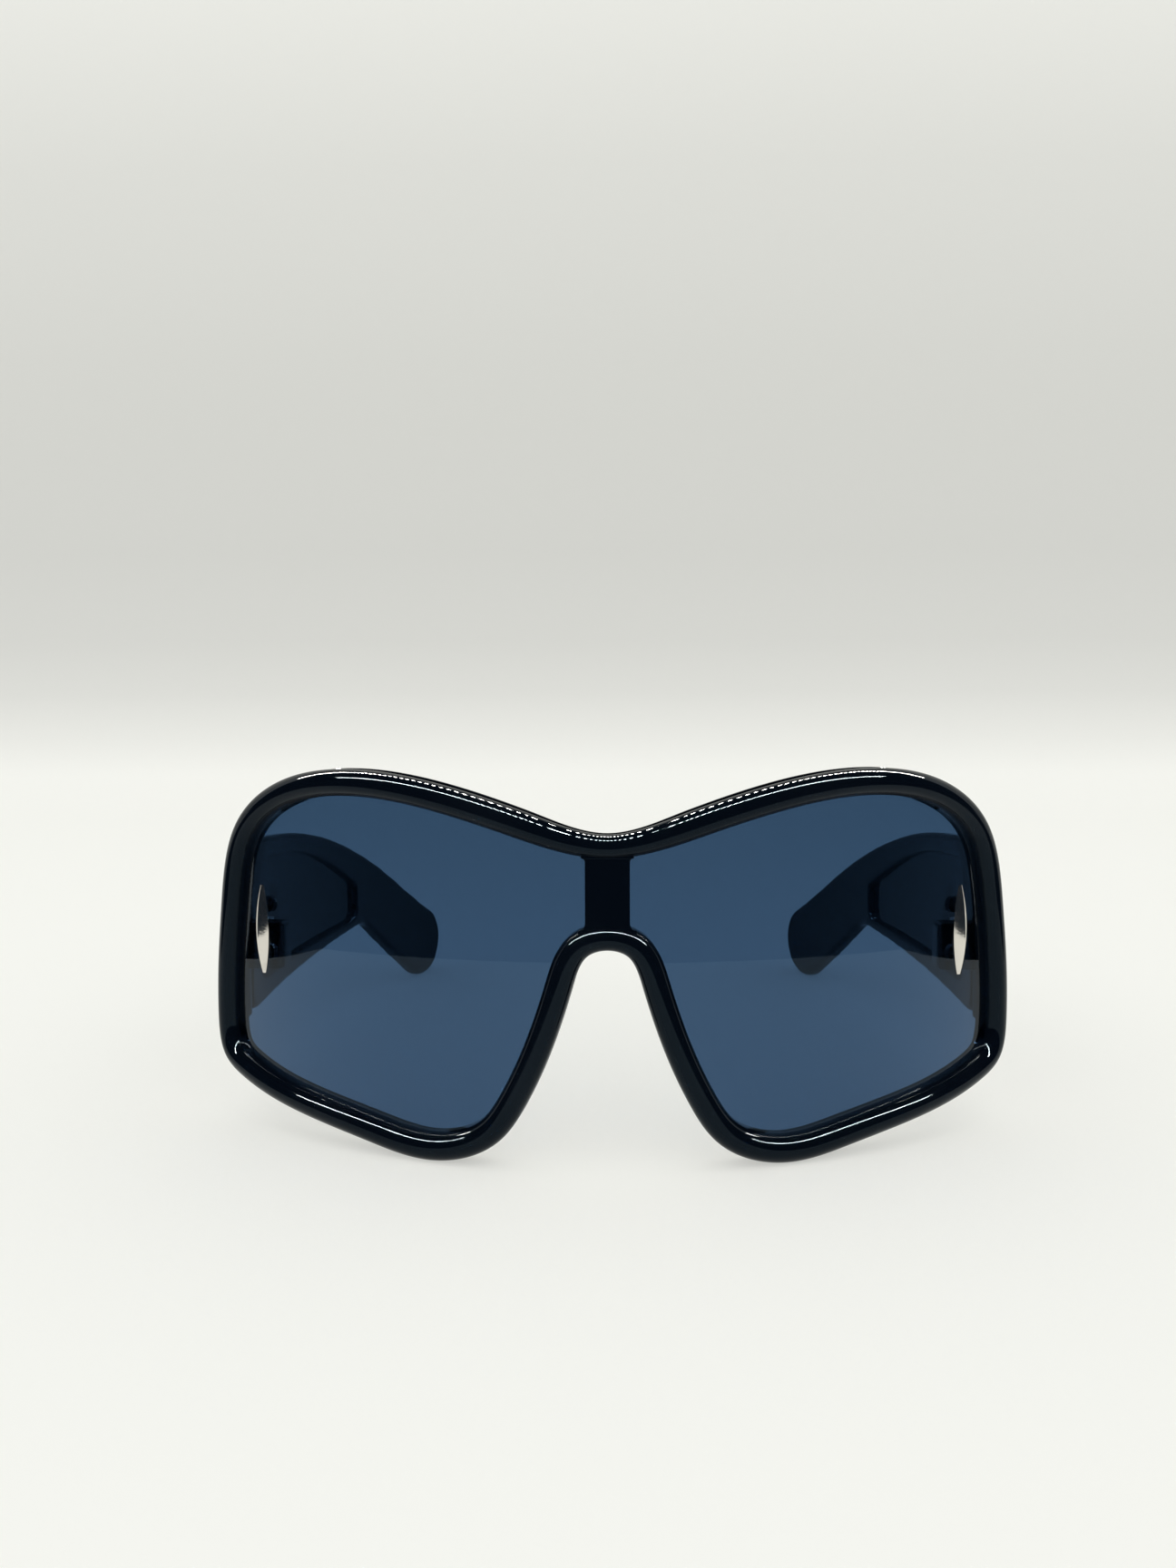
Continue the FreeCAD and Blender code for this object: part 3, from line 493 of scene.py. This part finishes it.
def ranged(material, mask, low, high):
    """Maps a mask to a range of values."""
    node = material.node_tree.nodes.new("ShaderNodeMapRange")
    node.inputs["To Min"].default_value = low
    node.inputs["To Max"].default_value = high
    material.node_tree.links.new(mask, node.inputs["Value"])
    return node.outputs[0]


def two_tones(material, mask, first, second):
    """Mixes two colours by a mask."""
    node = material.node_tree.nodes.new("ShaderNodeMix")
    node.data_type = "RGBA"
    node.inputs["A"].default_value = (*first, 1.0)
    node.inputs["B"].default_value = (*second, 1.0)
    material.node_tree.links.new(mask, node.inputs["Factor"])
    return node.outputs["Result"]


def bumped(material, shader, mask, strength, height):
    """Raises a surface by a mask, through the shader's normal; the height is in millimetres."""
    node = material.node_tree.nodes.new("ShaderNodeBump")
    node.inputs["Strength"].default_value = strength
    node.inputs["Distance"].default_value = height * MM
    material.node_tree.links.new(mask, node.inputs["Height"])
    material.node_tree.links.new(node.outputs["Normal"], shader.inputs["Normal"])


print("finish helpers ready")

# %% [markdown]
# Polished plastic
#
# Front and temples are moulded from one navy-black plastic and tumbled to a mirror gloss. A plain dark
# colour would do from afar; close by, the gloss needs marks to look real. The colour is nearly black,
# and the mirror is faint and bluish. Haze lifts the roughness a little, and hairlines break the mirror
# by a hundredth of a millimetre.

# %% Polished plastic
PLASTIC_IOR = 1.5
PLASTIC_MIRROR = 0.15
PLASTIC_MIRROR_TINT = (0.58, 0.82, 1.0, 1.0)
PLASTIC_PATCHES = 55.0
PLASTIC_ROUGHNESS = (0.012, 0.045)
HAIRLINE_HEIGHT = 0.01


def polished_plastic(name, deep, lifted):
    """Dark gloss: haze mixes two tones and lifts the roughness, and hairlines raise the surface."""
    material, shader = new_finish(
        name, IOR=PLASTIC_IOR, Specular_IOR_Level=PLASTIC_MIRROR, Specular_Tint=PLASTIC_MIRROR_TINT,
    )
    links = material.node_tree.links
    wiped = add_marks(material, PLASTIC_PATCHES)
    links.new(two_tones(material, wiped.outputs["Haze"], deep, lifted), shader.inputs["Base Color"])
    links.new(ranged(material, wiped.outputs["Haze"], *PLASTIC_ROUGHNESS), shader.inputs["Roughness"])
    bumped(material, shader, wiped.outputs["Hairlines"], strength=0.05, height=HAIRLINE_HEIGHT)
    return material


frame_plastic = polished_plastic(
    "frame_plastic", deep=(0.0015, 0.0030, 0.0060), lifted=(0.0025, 0.0042, 0.0075),
)
temple_plastic = polished_plastic(
    "temple_plastic", deep=(0.0015, 0.0028, 0.0055), lifted=(0.0025, 0.0040, 0.0070),
)
print("plastics:", frame_plastic.name, temple_plastic.name)

# %% [markdown]
# Tinted pane
#
# The pane is dyed through: blue light passes best, red least. A volume could absorb the light, but a
# base colour on a fully transmissive shader renders faster and is easier to match. Its colour is darker
# towards the brow and lighter towards the sill. A low refractive index and a bluish tint keep the mirror
# image as faint as on a coated pane. The faces stay clear, with a breath of haze in patches.

# %% Tinted pane
PANE_TOP = 67
PANE_IOR = 1.31
PANE_MIRROR_TINT = (0.55, 0.78, 1.0, 1.0)
PANE_COLOUR_AT_SILL = (0.049, 0.099, 0.192)
PANE_COLOUR_AT_BROW = (0.034, 0.074, 0.143)
PANE_PATCHES = 40.0
PANE_ROUGHNESS = (0.0, 0.012)

lens_tint, shader = new_finish(
    "lens_tint", Transmission_Weight=1.0, Metallic=0.0, IOR=PANE_IOR, Specular_Tint=PANE_MIRROR_TINT,
)
nodes, links = lens_tint.node_tree.nodes, lens_tint.node_tree.links
# The pane's colour changes with height: lighter towards the sill, darker towards the brow.
height = nodes.new("ShaderNodeMapRange")
height.inputs["From Min"].default_value = 0.0
height.inputs["From Max"].default_value = PANE_TOP * MM
links.new(along_axis(lens_tint, "Z"), height.inputs["Value"])
pane_colour = two_tones(lens_tint, height.outputs[0], PANE_COLOUR_AT_SILL, PANE_COLOUR_AT_BROW)
links.new(pane_colour, shader.inputs["Base Color"])
breath = add_marks(lens_tint, PANE_PATCHES)
links.new(ranged(lens_tint, breath.outputs["Haze"], *PANE_ROUGHNESS), shader.inputs["Roughness"])
print("pane:", lens_tint.name)

# %% [markdown]
# Stud metal
#
# The studs on the pane are cast and polished to a warm silver. A perfect mirror would show little but
# the dark cards, so some roughness spreads what it mirrors, and haze dulls it in patches.

# %% Stud metal
STUD_BRIGHT = (0.73, 0.70, 0.645)
STUD_DULL = (0.66, 0.63, 0.58)
STUD_PATCHES = 260.0
STUD_ROUGHNESS = (0.12, 0.2)

stud_metal, shader = new_finish("stud_metal", Metallic=1.0)
links = stud_metal.node_tree.links
wiped = add_marks(stud_metal, STUD_PATCHES)
silver = two_tones(stud_metal, wiped.outputs["Haze"], STUD_BRIGHT, STUD_DULL)
links.new(silver, shader.inputs["Base Color"])
links.new(ranged(stud_metal, wiped.outputs["Haze"], *STUD_ROUGHNESS), shader.inputs["Roughness"])
bumped(stud_metal, shader, wiped.outputs["Hairlines"], strength=0.08, height=HAIRLINE_HEIGHT)
print("stud:", stud_metal.name)

# %% [markdown]
# Plated steel
#
# The hinge leaves are stamped and the screws turned, both from steel, and then plated. Fine lines of
# the press and the lathe stay under the plating. Noise that is squeezed in height draws them as level
# lines; a wave texture would make them too even.

# %% Plated steel
STEEL_ROUGHNESS = (0.22, 0.38)
TOOL_LINE_HEIGHT = 0.02


def plated_steel(name, tone, dull, line_scale):
    """Plated steel with fine tool lines: squeezed noise tilts the gloss and tints it."""
    material, shader = new_finish(name, Metallic=1.0)
    nodes, links = material.node_tree.nodes, material.node_tree.links
    place = nodes.new("ShaderNodeTexCoord")
    squeeze = nodes.new("ShaderNodeMapping")
    squeeze.inputs["Scale"].default_value = line_scale
    lines = nodes.new("ShaderNodeTexNoise")
    lines.inputs["Scale"].default_value = 1.0
    lines.inputs["Detail"].default_value = 4.0
    links.new(place.outputs["Object"], squeeze.inputs["Vector"])
    links.new(squeeze.outputs["Vector"], lines.inputs["Vector"])
    links.new(two_tones(material, lines.outputs["Fac"], tone, dull), shader.inputs["Base Color"])
    links.new(ranged(material, lines.outputs["Fac"], *STEEL_ROUGHNESS), shader.inputs["Roughness"])
    bumped(material, shader, lines.outputs["Fac"], strength=0.12, height=TOOL_LINE_HEIGHT)
    return material


hinge_steel = plated_steel(
    "hinge_steel", tone=(0.66, 0.66, 0.65), dull=(0.52, 0.52, 0.52), line_scale=(900.0, 900.0, 9000.0),
)
screw_steel = plated_steel(
    "screw_steel", tone=(0.72, 0.72, 0.71), dull=(0.58, 0.58, 0.57), line_scale=(700.0, 700.0, 14000.0),
)
print("steels:", hinge_steel.name, screw_steel.name)

# %% [markdown]
# Collars
#
# Behind the pane, push-on collars of dull dark plastic hold the studs' posts. They are small and in
# shade, so fine haze alone gives their tone, their roughness and their grain.

# %% Collar plastic
COLLAR_MIRROR = 0.1
COLLAR_DARK = (0.026, 0.034, 0.046)
COLLAR_RUBBED = (0.032, 0.041, 0.054)
COLLAR_GRAIN = 900.0
COLLAR_GRAIN_HEIGHT = 0.03
COLLAR_ROUGHNESS = (0.42, 0.60)

collar_plastic, shader = new_finish("retainer_plastic", IOR=PLASTIC_IOR, Specular_IOR_Level=COLLAR_MIRROR)
links = collar_plastic.node_tree.links
rubbed = add_marks(collar_plastic, COLLAR_GRAIN)
dark = two_tones(collar_plastic, rubbed.outputs["Haze"], COLLAR_DARK, COLLAR_RUBBED)
links.new(dark, shader.inputs["Base Color"])
links.new(ranged(collar_plastic, rubbed.outputs["Haze"], *COLLAR_ROUGHNESS), shader.inputs["Roughness"])
bumped(collar_plastic, shader, rubbed.outputs["Haze"], strength=0.2, height=COLLAR_GRAIN_HEIGHT)
print("collars:", collar_plastic.name)

# %% [markdown]
# Rim
#
# The rim is one round bead that runs round the pane: down at the middle of the brow, up over two humps,
# round the cheeks, along the sill and up over the nose. It could be lofted section by section, but a
# bead of one section is quicker to draw as a curve with a bevel profile. The front is drawn rolled out
# flat, and bent to its wrap at the end. The pins are the places that the bead passes in front view,
# from the brow's middle to the nose arch, on one half: across, up, and the bead's width there.

# %% Pins of the rim
WRAP_RADIUS = 107.65
RIM_WIDTH = 4.7
RIM_PINS = (
    (0.0, 54.7, 4.0), (14.0, 58.05, 4.68), (46.0, 64.65, 4.7), (59.3, 61.7, 4.7), (67.7, 54.0, 4.7),
    (71.1, 40.0, 4.7), (72.65, 19.5, 4.7), (71.4, 12.5, 4.7), (67.9, 10.1, 4.7), (52.1, 6.0, 4.7),
    (40.85, 3.855, 4.7), (29.6, 2.35, 4.7), (19.8, 6.2, 4.7), (16.1, 11.4, 4.7),
    (8.1, 31.5, 4.6), (4.7, 38.15, 4.5), (0.0, 39.5, 4.2),
)


def rolled_out(x):
    """Distance round the wrap of a point that stands x from the middle in front view."""
    return WRAP_RADIUS * math.asin(x / WRAP_RADIUS)


drawn_half = [(rolled_out(x), z, width) for x, z, width in RIM_PINS]
mirrored_half = [(-x, z, width) for x, z, width in reversed(drawn_half[1:-1])]
rim_pins = drawn_half + mirrored_half
rim_half_width = max(pin[0] for pin in rim_pins)
print("rim pins:", len(rim_pins), "with a rolled-out half width of", round(rim_half_width, 2), "mm")

# %% [markdown]
# A Bezier curve with automatic handles has small jumps in its bend, and a mirror-bright bead shows
# each one as a kink in the highlight. Handles that are solved together, so that the bend flows
# through every pin, leave none.


# %% A curve that flows through pins
def flowing_handles(points):
    """Slopes of a closed cubic spline through points, and the lengths after and before each."""
    count = len(points)
    ahead = np.roll(points, -1, axis=0) - points
    length = np.linalg.norm(ahead, axis=1)
    before = np.roll(length, 1)
    rows = np.zeros((count, count))
    for i in range(count):
        rows[i, i - 1] += length[i]
        rows[i, i] += 2 * (before[i] + length[i])
        rows[i, (i + 1) % count] += before[i]
    behind = np.roll(ahead, 1, axis=0)
    sums = 3 * (behind * (length / before)[:, None] + ahead * (before / length)[:, None])
    return np.linalg.solve(rows, sums), length, before


def flowing_curve(name, pins):
    """Closed flat Bezier curve through (across, up, width) pins, in millimetres."""
    bpy.ops.object.select_all(action="DESELECT")
    bpy.ops.curve.primitive_bezier_circle_add()
    drawn = bpy.context.object
    drawn.name = name
    drawn.data.dimensions = "2D"
    spline = drawn.data.splines[0]
    spline.bezier_points.add(len(pins) - len(spline.bezier_points))
    points = np.array([pin[:2] for pin in pins])
    slopes, length, before = flowing_handles(points)
    for i, knot in enumerate(spline.bezier_points):
        knot.handle_left_type = "FREE"
        knot.handle_right_type = "FREE"
        knot.co = (*(points[i] * MM), 0.0)
        knot.handle_left = (*((points[i] - slopes[i] * before[i] / 3) * MM), 0.0)
        knot.handle_right = (*((points[i] + slopes[i] * length[i] / 3) * MM), 0.0)
        knot.radius = pins[i][2] / RIM_WIDTH
    spline.radius_interpolation = "CARDINAL"
    return drawn


rim_line = flowing_curve("front_rim", rim_pins)
print("rim line:", len(rim_line.data.splines[0].bezier_points), "knots")

# %% [markdown]
# The section of the bead is round in front, has a groove for the pane on its inner side and a flat
# back with soft corners. It is drawn once, and the curve carries it along.

# %% Section of the rim
BEAD = 2.35
BEAD_STEPS = 36
RIM_BACK = 3.65
BACK_ROUND = 0.9
BACK_STEPS = 6
LIP = 0.2
LIP_BREAK = 0.06
GROOVE_BACK = 2.3
GROOVE_FLOOR = 1.05
GROOVE_BREAK = 0.1


def arc(across, ahead, radius, start, end, steps):
    """Points of an arc, by its centre, radius and angles in degrees."""
    turns = np.radians(np.linspace(start, end, steps + 1))
    return [(across + radius * math.cos(t), ahead + radius * math.sin(t)) for t in turns]


section = arc(0.0, 0.0, BEAD, 0, 180, BEAD_STEPS)
section += [(-BEAD, -LIP + LIP_BREAK), (-BEAD + LIP_BREAK, -LIP)]
section += [(-GROOVE_FLOOR, -LIP), (-GROOVE_FLOOR, -GROOVE_BACK)]
section += [(-BEAD + GROOVE_BREAK, -GROOVE_BACK), (-BEAD, -GROOVE_BACK - GROOVE_BREAK)]
section += arc(-BEAD + BACK_ROUND, -RIM_BACK + BACK_ROUND, BACK_ROUND, 180, 270, BACK_STEPS)
section += arc(BEAD - BACK_ROUND, -RIM_BACK + BACK_ROUND, BACK_ROUND, 270, 360, BACK_STEPS)
profile_data = bpy.data.curves.new("rim_section", "CURVE")
profile_data.dimensions = "2D"
outline = profile_data.splines.new("POLY")
outline.points.add(len(section) - 1)
outline.use_cyclic_u = True
for point, (across, ahead) in zip(outline.points, section):
    point.co = (across * MM, ahead * MM, 0.0, 1.0)
rim_profile = bpy.data.objects.new("rim_section", profile_data)
bpy.context.scene.collection.objects.link(rim_profile)
print("section:", len(section), "points")

# %% [markdown]
# The curve with its section becomes a mesh. It was drawn lying down, so it is stood up, and then bent
# round an upright axis. A lattice or a bent guide curve could do that too, but the bend of a Simple
# Deform modifier needs just one angle: the width of the piece over the radius of the wrap.

# %% Stand up and wrap
FRONT_Y = -73.65


def wrap(piece, radius, front_y):
    """Bends a flat standing piece round an upright axis and puts its face at front_y."""
    across = [vertex.co.x for vertex in piece.data.vertices]
    apply_modifier(
        piece, "SIMPLE_DEFORM", deform_method="BEND", deform_axis="Z",
        angle=(max(across) - min(across)) / (radius * MM),
    )
    piece.location.y = front_y * MM
    settle(piece)


def made_mesh(drawn):
    """Turns a drawn curve into a standing mesh: its flat front looks to -Y."""
    pick(drawn)
    bpy.ops.object.convert(target="MESH")
    mesh_piece = bpy.context.object
    mesh_piece.rotation_euler.x = math.radians(90)
    settle(mesh_piece)
    return mesh_piece


print("wrap: radius", WRAP_RADIUS, "mm, face at y =", FRONT_Y, "mm")

# %% Finished rim
RIM_STEPS = 18
FRONT_SMOOTH = 30
MERGE_DISTANCE = 0.001

rim_line.data.resolution_u = RIM_STEPS
rim_line.data.bevel_mode = "OBJECT"
rim_line.data.bevel_object = rim_profile
rim = made_mesh(rim_line)
depths = [vertex.co.y / MM for vertex in rim.data.vertices]
print("flat rim: y", round(min(depths), 2), "to", round(max(depths), 2), "mm")
wrap(rim, WRAP_RADIUS, FRONT_Y)
bpy.data.objects.remove(rim_profile)
pick(rim)
bpy.ops.object.mode_set(mode="EDIT")
bpy.ops.mesh.select_all(action="SELECT")
bpy.ops.mesh.remove_doubles(threshold=MERGE_DISTANCE * MM)
bpy.ops.mesh.normals_make_consistent(inside=False)
bpy.ops.object.mode_set(mode="OBJECT")
smooth(rim, FRONT_SMOOTH)
wear(rim, "front", frame_plastic)
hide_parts("front_frame")
print("rim:", len(rim.data.polygons), "faces")

# %% [markdown]
# Pane
#
# One pane fills the whole rim and runs on behind the centre strut. The rim's line, drawn in by about a
# millimetre, is filled and pulled out to the pane's thickness. A filled outline is one large face that
# cannot bend, so it is first cut into narrow strips, square to the wrap. A grid could bend as well, but
# its edge would not follow the rim.

# %% Flat pane
PANE_INSET = 1.15
PANE_FRONT = -0.25
PANE_THICKNESS = 2.0
PANE_STEPS = 10

pane_line = flowing_curve("tinted_pane", rim_pins)
pane_line.data.resolution_u = PANE_STEPS
pane_line.data.fill_mode = "NONE"
pane = made_mesh(pane_line)
pick(pane)
bpy.ops.object.mode_set(mode="EDIT")
bpy.ops.mesh.select_all(action="SELECT")
bpy.ops.mesh.edge_face_add()
bpy.ops.mesh.inset(thickness=PANE_INSET * MM, depth=0.0)
bpy.ops.mesh.select_all(action="INVERT")
bpy.ops.mesh.delete(type="FACE")
bpy.ops.mesh.select_all(action="SELECT")
bpy.ops.mesh.delete_loose()
bpy.ops.mesh.select_all(action="SELECT")
bpy.ops.mesh.extrude_region_move(TRANSFORM_OT_translate={"value": (0.0, PANE_THICKNESS * MM, 0.0)})
bpy.ops.mesh.select_all(action="SELECT")
bpy.ops.mesh.normals_make_consistent(inside=False)
bpy.ops.transform.translate(value=(0.0, -PANE_FRONT * MM, 0.0))
bpy.ops.object.mode_set(mode="OBJECT")
print("flat pane:", len(pane.data.vertices), "points")

# %% Bent pane
STRIPS = 96
STRIPS_REACH = 78.0


def cut_strips(piece, reach, count):
    """Cuts a piece right through, at even steps from -reach to reach across it."""
    square = Vector((1.0, 0.0, 0.0))
    pick(piece)
    bpy.ops.object.mode_set(mode="EDIT")
    for place in np.linspace(-reach, reach, count):
        bpy.ops.mesh.select_all(action="SELECT")
        bpy.ops.mesh.bisect(plane_co=square * place * MM, plane_no=square)
    bpy.ops.object.mode_set(mode="OBJECT")


cut_strips(pane, STRIPS_REACH, STRIPS)
wrap(pane, WRAP_RADIUS, FRONT_Y)
smooth(pane, FRONT_SMOOTH)
wear(pane, "front", lens_tint)
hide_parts("shield_lens")
print("pane:", len(pane.data.polygons), "faces")

# %% [markdown]
# Centre strut
#
# A flat bar stands in front of the pane, between the brow and the nose, and swells into both beads
# with a small round. A drawn outline could be pulled out to its thickness, but a cube has the flat
# faces already. Its two ends are extruded in short steps that widen along a quarter circle, and then
# run on into the beads.

# %% Helpers for the blocks
NEAR = 0.01
BLOCK_ROUND_STEPS = 3
BLOCK_SMOOTH = 40


def cube_between(name, low, high):
    """A cube stretched between two corners, in millimetres."""
    bpy.ops.object.select_all(action="DESELECT")
    bpy.ops.mesh.primitive_cube_add(size=1.0)
    block = bpy.context.object
    block.name = name
    block.location = (Vector(low) + Vector(high)) / 2 * MM
    block.scale = (Vector(high) - Vector(low)) * MM
    settle(block)
    return block


def near(value, place):
    """Tells whether a coordinate in metres lies at a place in millimetres."""
    return abs(value / MM - place) < NEAR


def round_edges(piece, width, degrees):
    """Rounds the edges of a block that are sharper than the angle."""
    apply_modifier(
        piece, "BEVEL", width=width * MM, segments=BLOCK_ROUND_STEPS,
        limit_method="ANGLE", angle_limit=math.radians(degrees),
    )


def shade_block(piece):
    """Smooth shading in which the large flat faces stay flat."""
    smooth(piece, BLOCK_SMOOTH)
    apply_modifier(piece, "WEIGHTED_NORMAL", keep_sharp=True)


print("helpers for blocks ready")

# %% Centre strut
STRUT_HALF = 3.7
STRUT_FRONT = -74.8
STRUT_BACK = -73.45
STRUT_LOW, STRUT_HIGH = 42.1, 52.2
STRUT_ROUND = 0.3
STRUT_SHARP = 50
FLARE_STEPS = 6
STRUT_ENDS = (
    {"way": 1, "place": STRUT_HIGH, "flare": 0.7, "run": 2.0},
    {"way": -1, "place": STRUT_LOW, "flare": 1.2, "run": 0.9},
)


def push_up(distance):
    """Extrudes the selected face upwards in millimetres, or downwards where the distance is negative."""
    bpy.ops.mesh.extrude_region_move(TRANSFORM_OT_translate={"value": (0.0, 0.0, distance * MM)})


strut = cube_between(
    "centre_strut", (-STRUT_HALF, STRUT_FRONT, STRUT_LOW), (STRUT_HALF, STRUT_BACK, STRUT_HIGH),
)
turns = np.linspace(0.0, math.pi / 2, FLARE_STEPS + 1)
for end in STRUT_ENDS:
    halves = STRUT_HALF + end["flare"] * (1 - np.cos(turns))
    rises = np.diff(end["flare"] * np.sin(turns))
    select_where(strut, "FACE", lambda face: near(face.center.z, end["place"]))
    for rise, wide in zip(rises, halves[1:] / halves[:-1]):
        push_up(end["way"] * rise)
        bpy.ops.transform.resize(value=(wide, 1.0, 1.0), center_override=(0.0, 0.0, 0.0))
    push_up(end["way"] * end["run"])
    bpy.ops.object.mode_set(mode="OBJECT")
round_edges(strut, STRUT_ROUND, STRUT_SHARP)
shade_block(strut)
wear(strut, "front", frame_plastic)
print("strut:", len(strut.data.polygons), "faces")

# %% [markdown]
# End pieces
#
# Behind each side of the rim, a block carries the butt joint of the temple. It could be pulled out of
# the rim's own mesh, but a block that runs into the rim is simpler and looks the same. It is a cube
# with one upright edge pushed out and back, to leave room for the pane. The wearer's left side comes
# first.

# %% End piece
END_LOW, END_HIGH = (69.5, -45.0, 17.3), (73.1, -40.0, 47.3)
END_STEP_Y = -41.6
END_TUCK = (2.4, 0.8)
END_ROUND = 0.45
END_SHARP = 40

left_end = cube_between("left_end_piece", END_LOW, END_HIGH)
cut(left_end, (0.0, END_STEP_Y * MM, 0.0), (0.0, 1.0, 0.0), drop=False)
select_where(
    left_end, "VERT",
    lambda point: near(point.co.x, END_LOW[0]) and near(point.co.y, END_LOW[1]),
)
bpy.ops.transform.translate(value=(END_TUCK[0] * MM, END_TUCK[1] * MM, 0.0))
bpy.ops.object.mode_set(mode="OBJECT")
round_edges(left_end, END_ROUND, END_SHARP)
print("end piece:", len(left_end.data.polygons), "faces")

# %% [markdown]
# Hinge bosses
#
# A lug beside the end piece holds the front leaf of the hinge. It is a cube with a rounded end. Its
# back face is inset and pushed in, which makes the leaf's seat without a boolean cut. The lug joins
# the end piece, and the other side of the front is the mirror image of both.

# %% Hinge boss
BOSS_LOW, BOSS_HIGH = (61.9, -43.8, 27.45), (70.3, -40.0, 36.25)
BOSS_ROUND = 1.0
BOSS_ROUND_STEPS = 5
BOSS_WALL = 0.8
LEAF_SEAT = 1.03
LOOKS_BACK = 0.99

boss = cube_between("left_boss", BOSS_LOW, BOSS_HIGH)


def at_rounded_end(edge):
    """Picks the edges of the boss's inner end, apart from the one at its back."""
    ends = ends_of(boss, edge)
    at_inner_end = all(near(end.x, BOSS_LOW[0]) for end in ends)
    return at_inner_end and not all(near(end.y, BOSS_HIGH[1]) for end in ends)


select_where(boss, "EDGE", at_rounded_end)
bpy.ops.mesh.bevel(offset=BOSS_ROUND * MM, segments=BOSS_ROUND_STEPS, affect="EDGES")
bpy.ops.object.mode_set(mode="OBJECT")
select_where(boss, "FACE", lambda face: face.normal.y > LOOKS_BACK)
bpy.ops.mesh.inset(thickness=BOSS_WALL * MM, depth=0.0)
bpy.ops.mesh.extrude_region_move(TRANSFORM_OT_translate={"value": (0.0, -LEAF_SEAT * MM, 0.0)})
bpy.ops.object.mode_set(mode="OBJECT")
print("boss:", len(boss.data.polygons), "faces")


# %% Both sides
def mirrored(piece, name):
    """The mirror image of a finished piece, with its faces turned outwards again."""
    pick(piece)
    bpy.ops.object.duplicate()
    twin = bpy.context.object
    twin.name = name
    twin.scale.x = -1.0
    settle(twin)
    bpy.ops.object.mode_set(mode="EDIT")
    bpy.ops.mesh.select_all(action="SELECT")
    bpy.ops.mesh.flip_normals()
    bpy.ops.object.mode_set(mode="OBJECT")
    return twin


pick(left_end)
boss.select_set(True)
bpy.ops.object.join()
shade_block(left_end)
right_end = mirrored(left_end, "right_end_piece")
for piece in (left_end, right_end):
    wear(piece, "front", frame_plastic)
print("end pieces with bosses:", left_end.name, right_end.name)

# %% [markdown]
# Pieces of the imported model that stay
#
# The temples, studs, collars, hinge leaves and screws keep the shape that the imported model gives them:
# they are fine enough as they are, and they have to meet at the hinges. They only get their finish,
# which the record's slot of each piece names.

# %% Finishes of the CAD pieces that stay
FINISHES = {
    "temple_plastic": temple_plastic,
    "stud_metal": stud_metal,
    "retainer_plastic": collar_plastic,
    "hinge_steel": hinge_steel,
    "screw_steel": screw_steel,
}
finished = 0
for part in frame["record"]["subparts"]:
    if part["material_slot"] in FINISHES:
        node = frame["nodes"][part["node"]]
        node.data.materials.clear()
        node.data.materials.append(FINISHES[part["material_slot"]])
        finished += 1
print("CAD pieces with a finish:", finished)
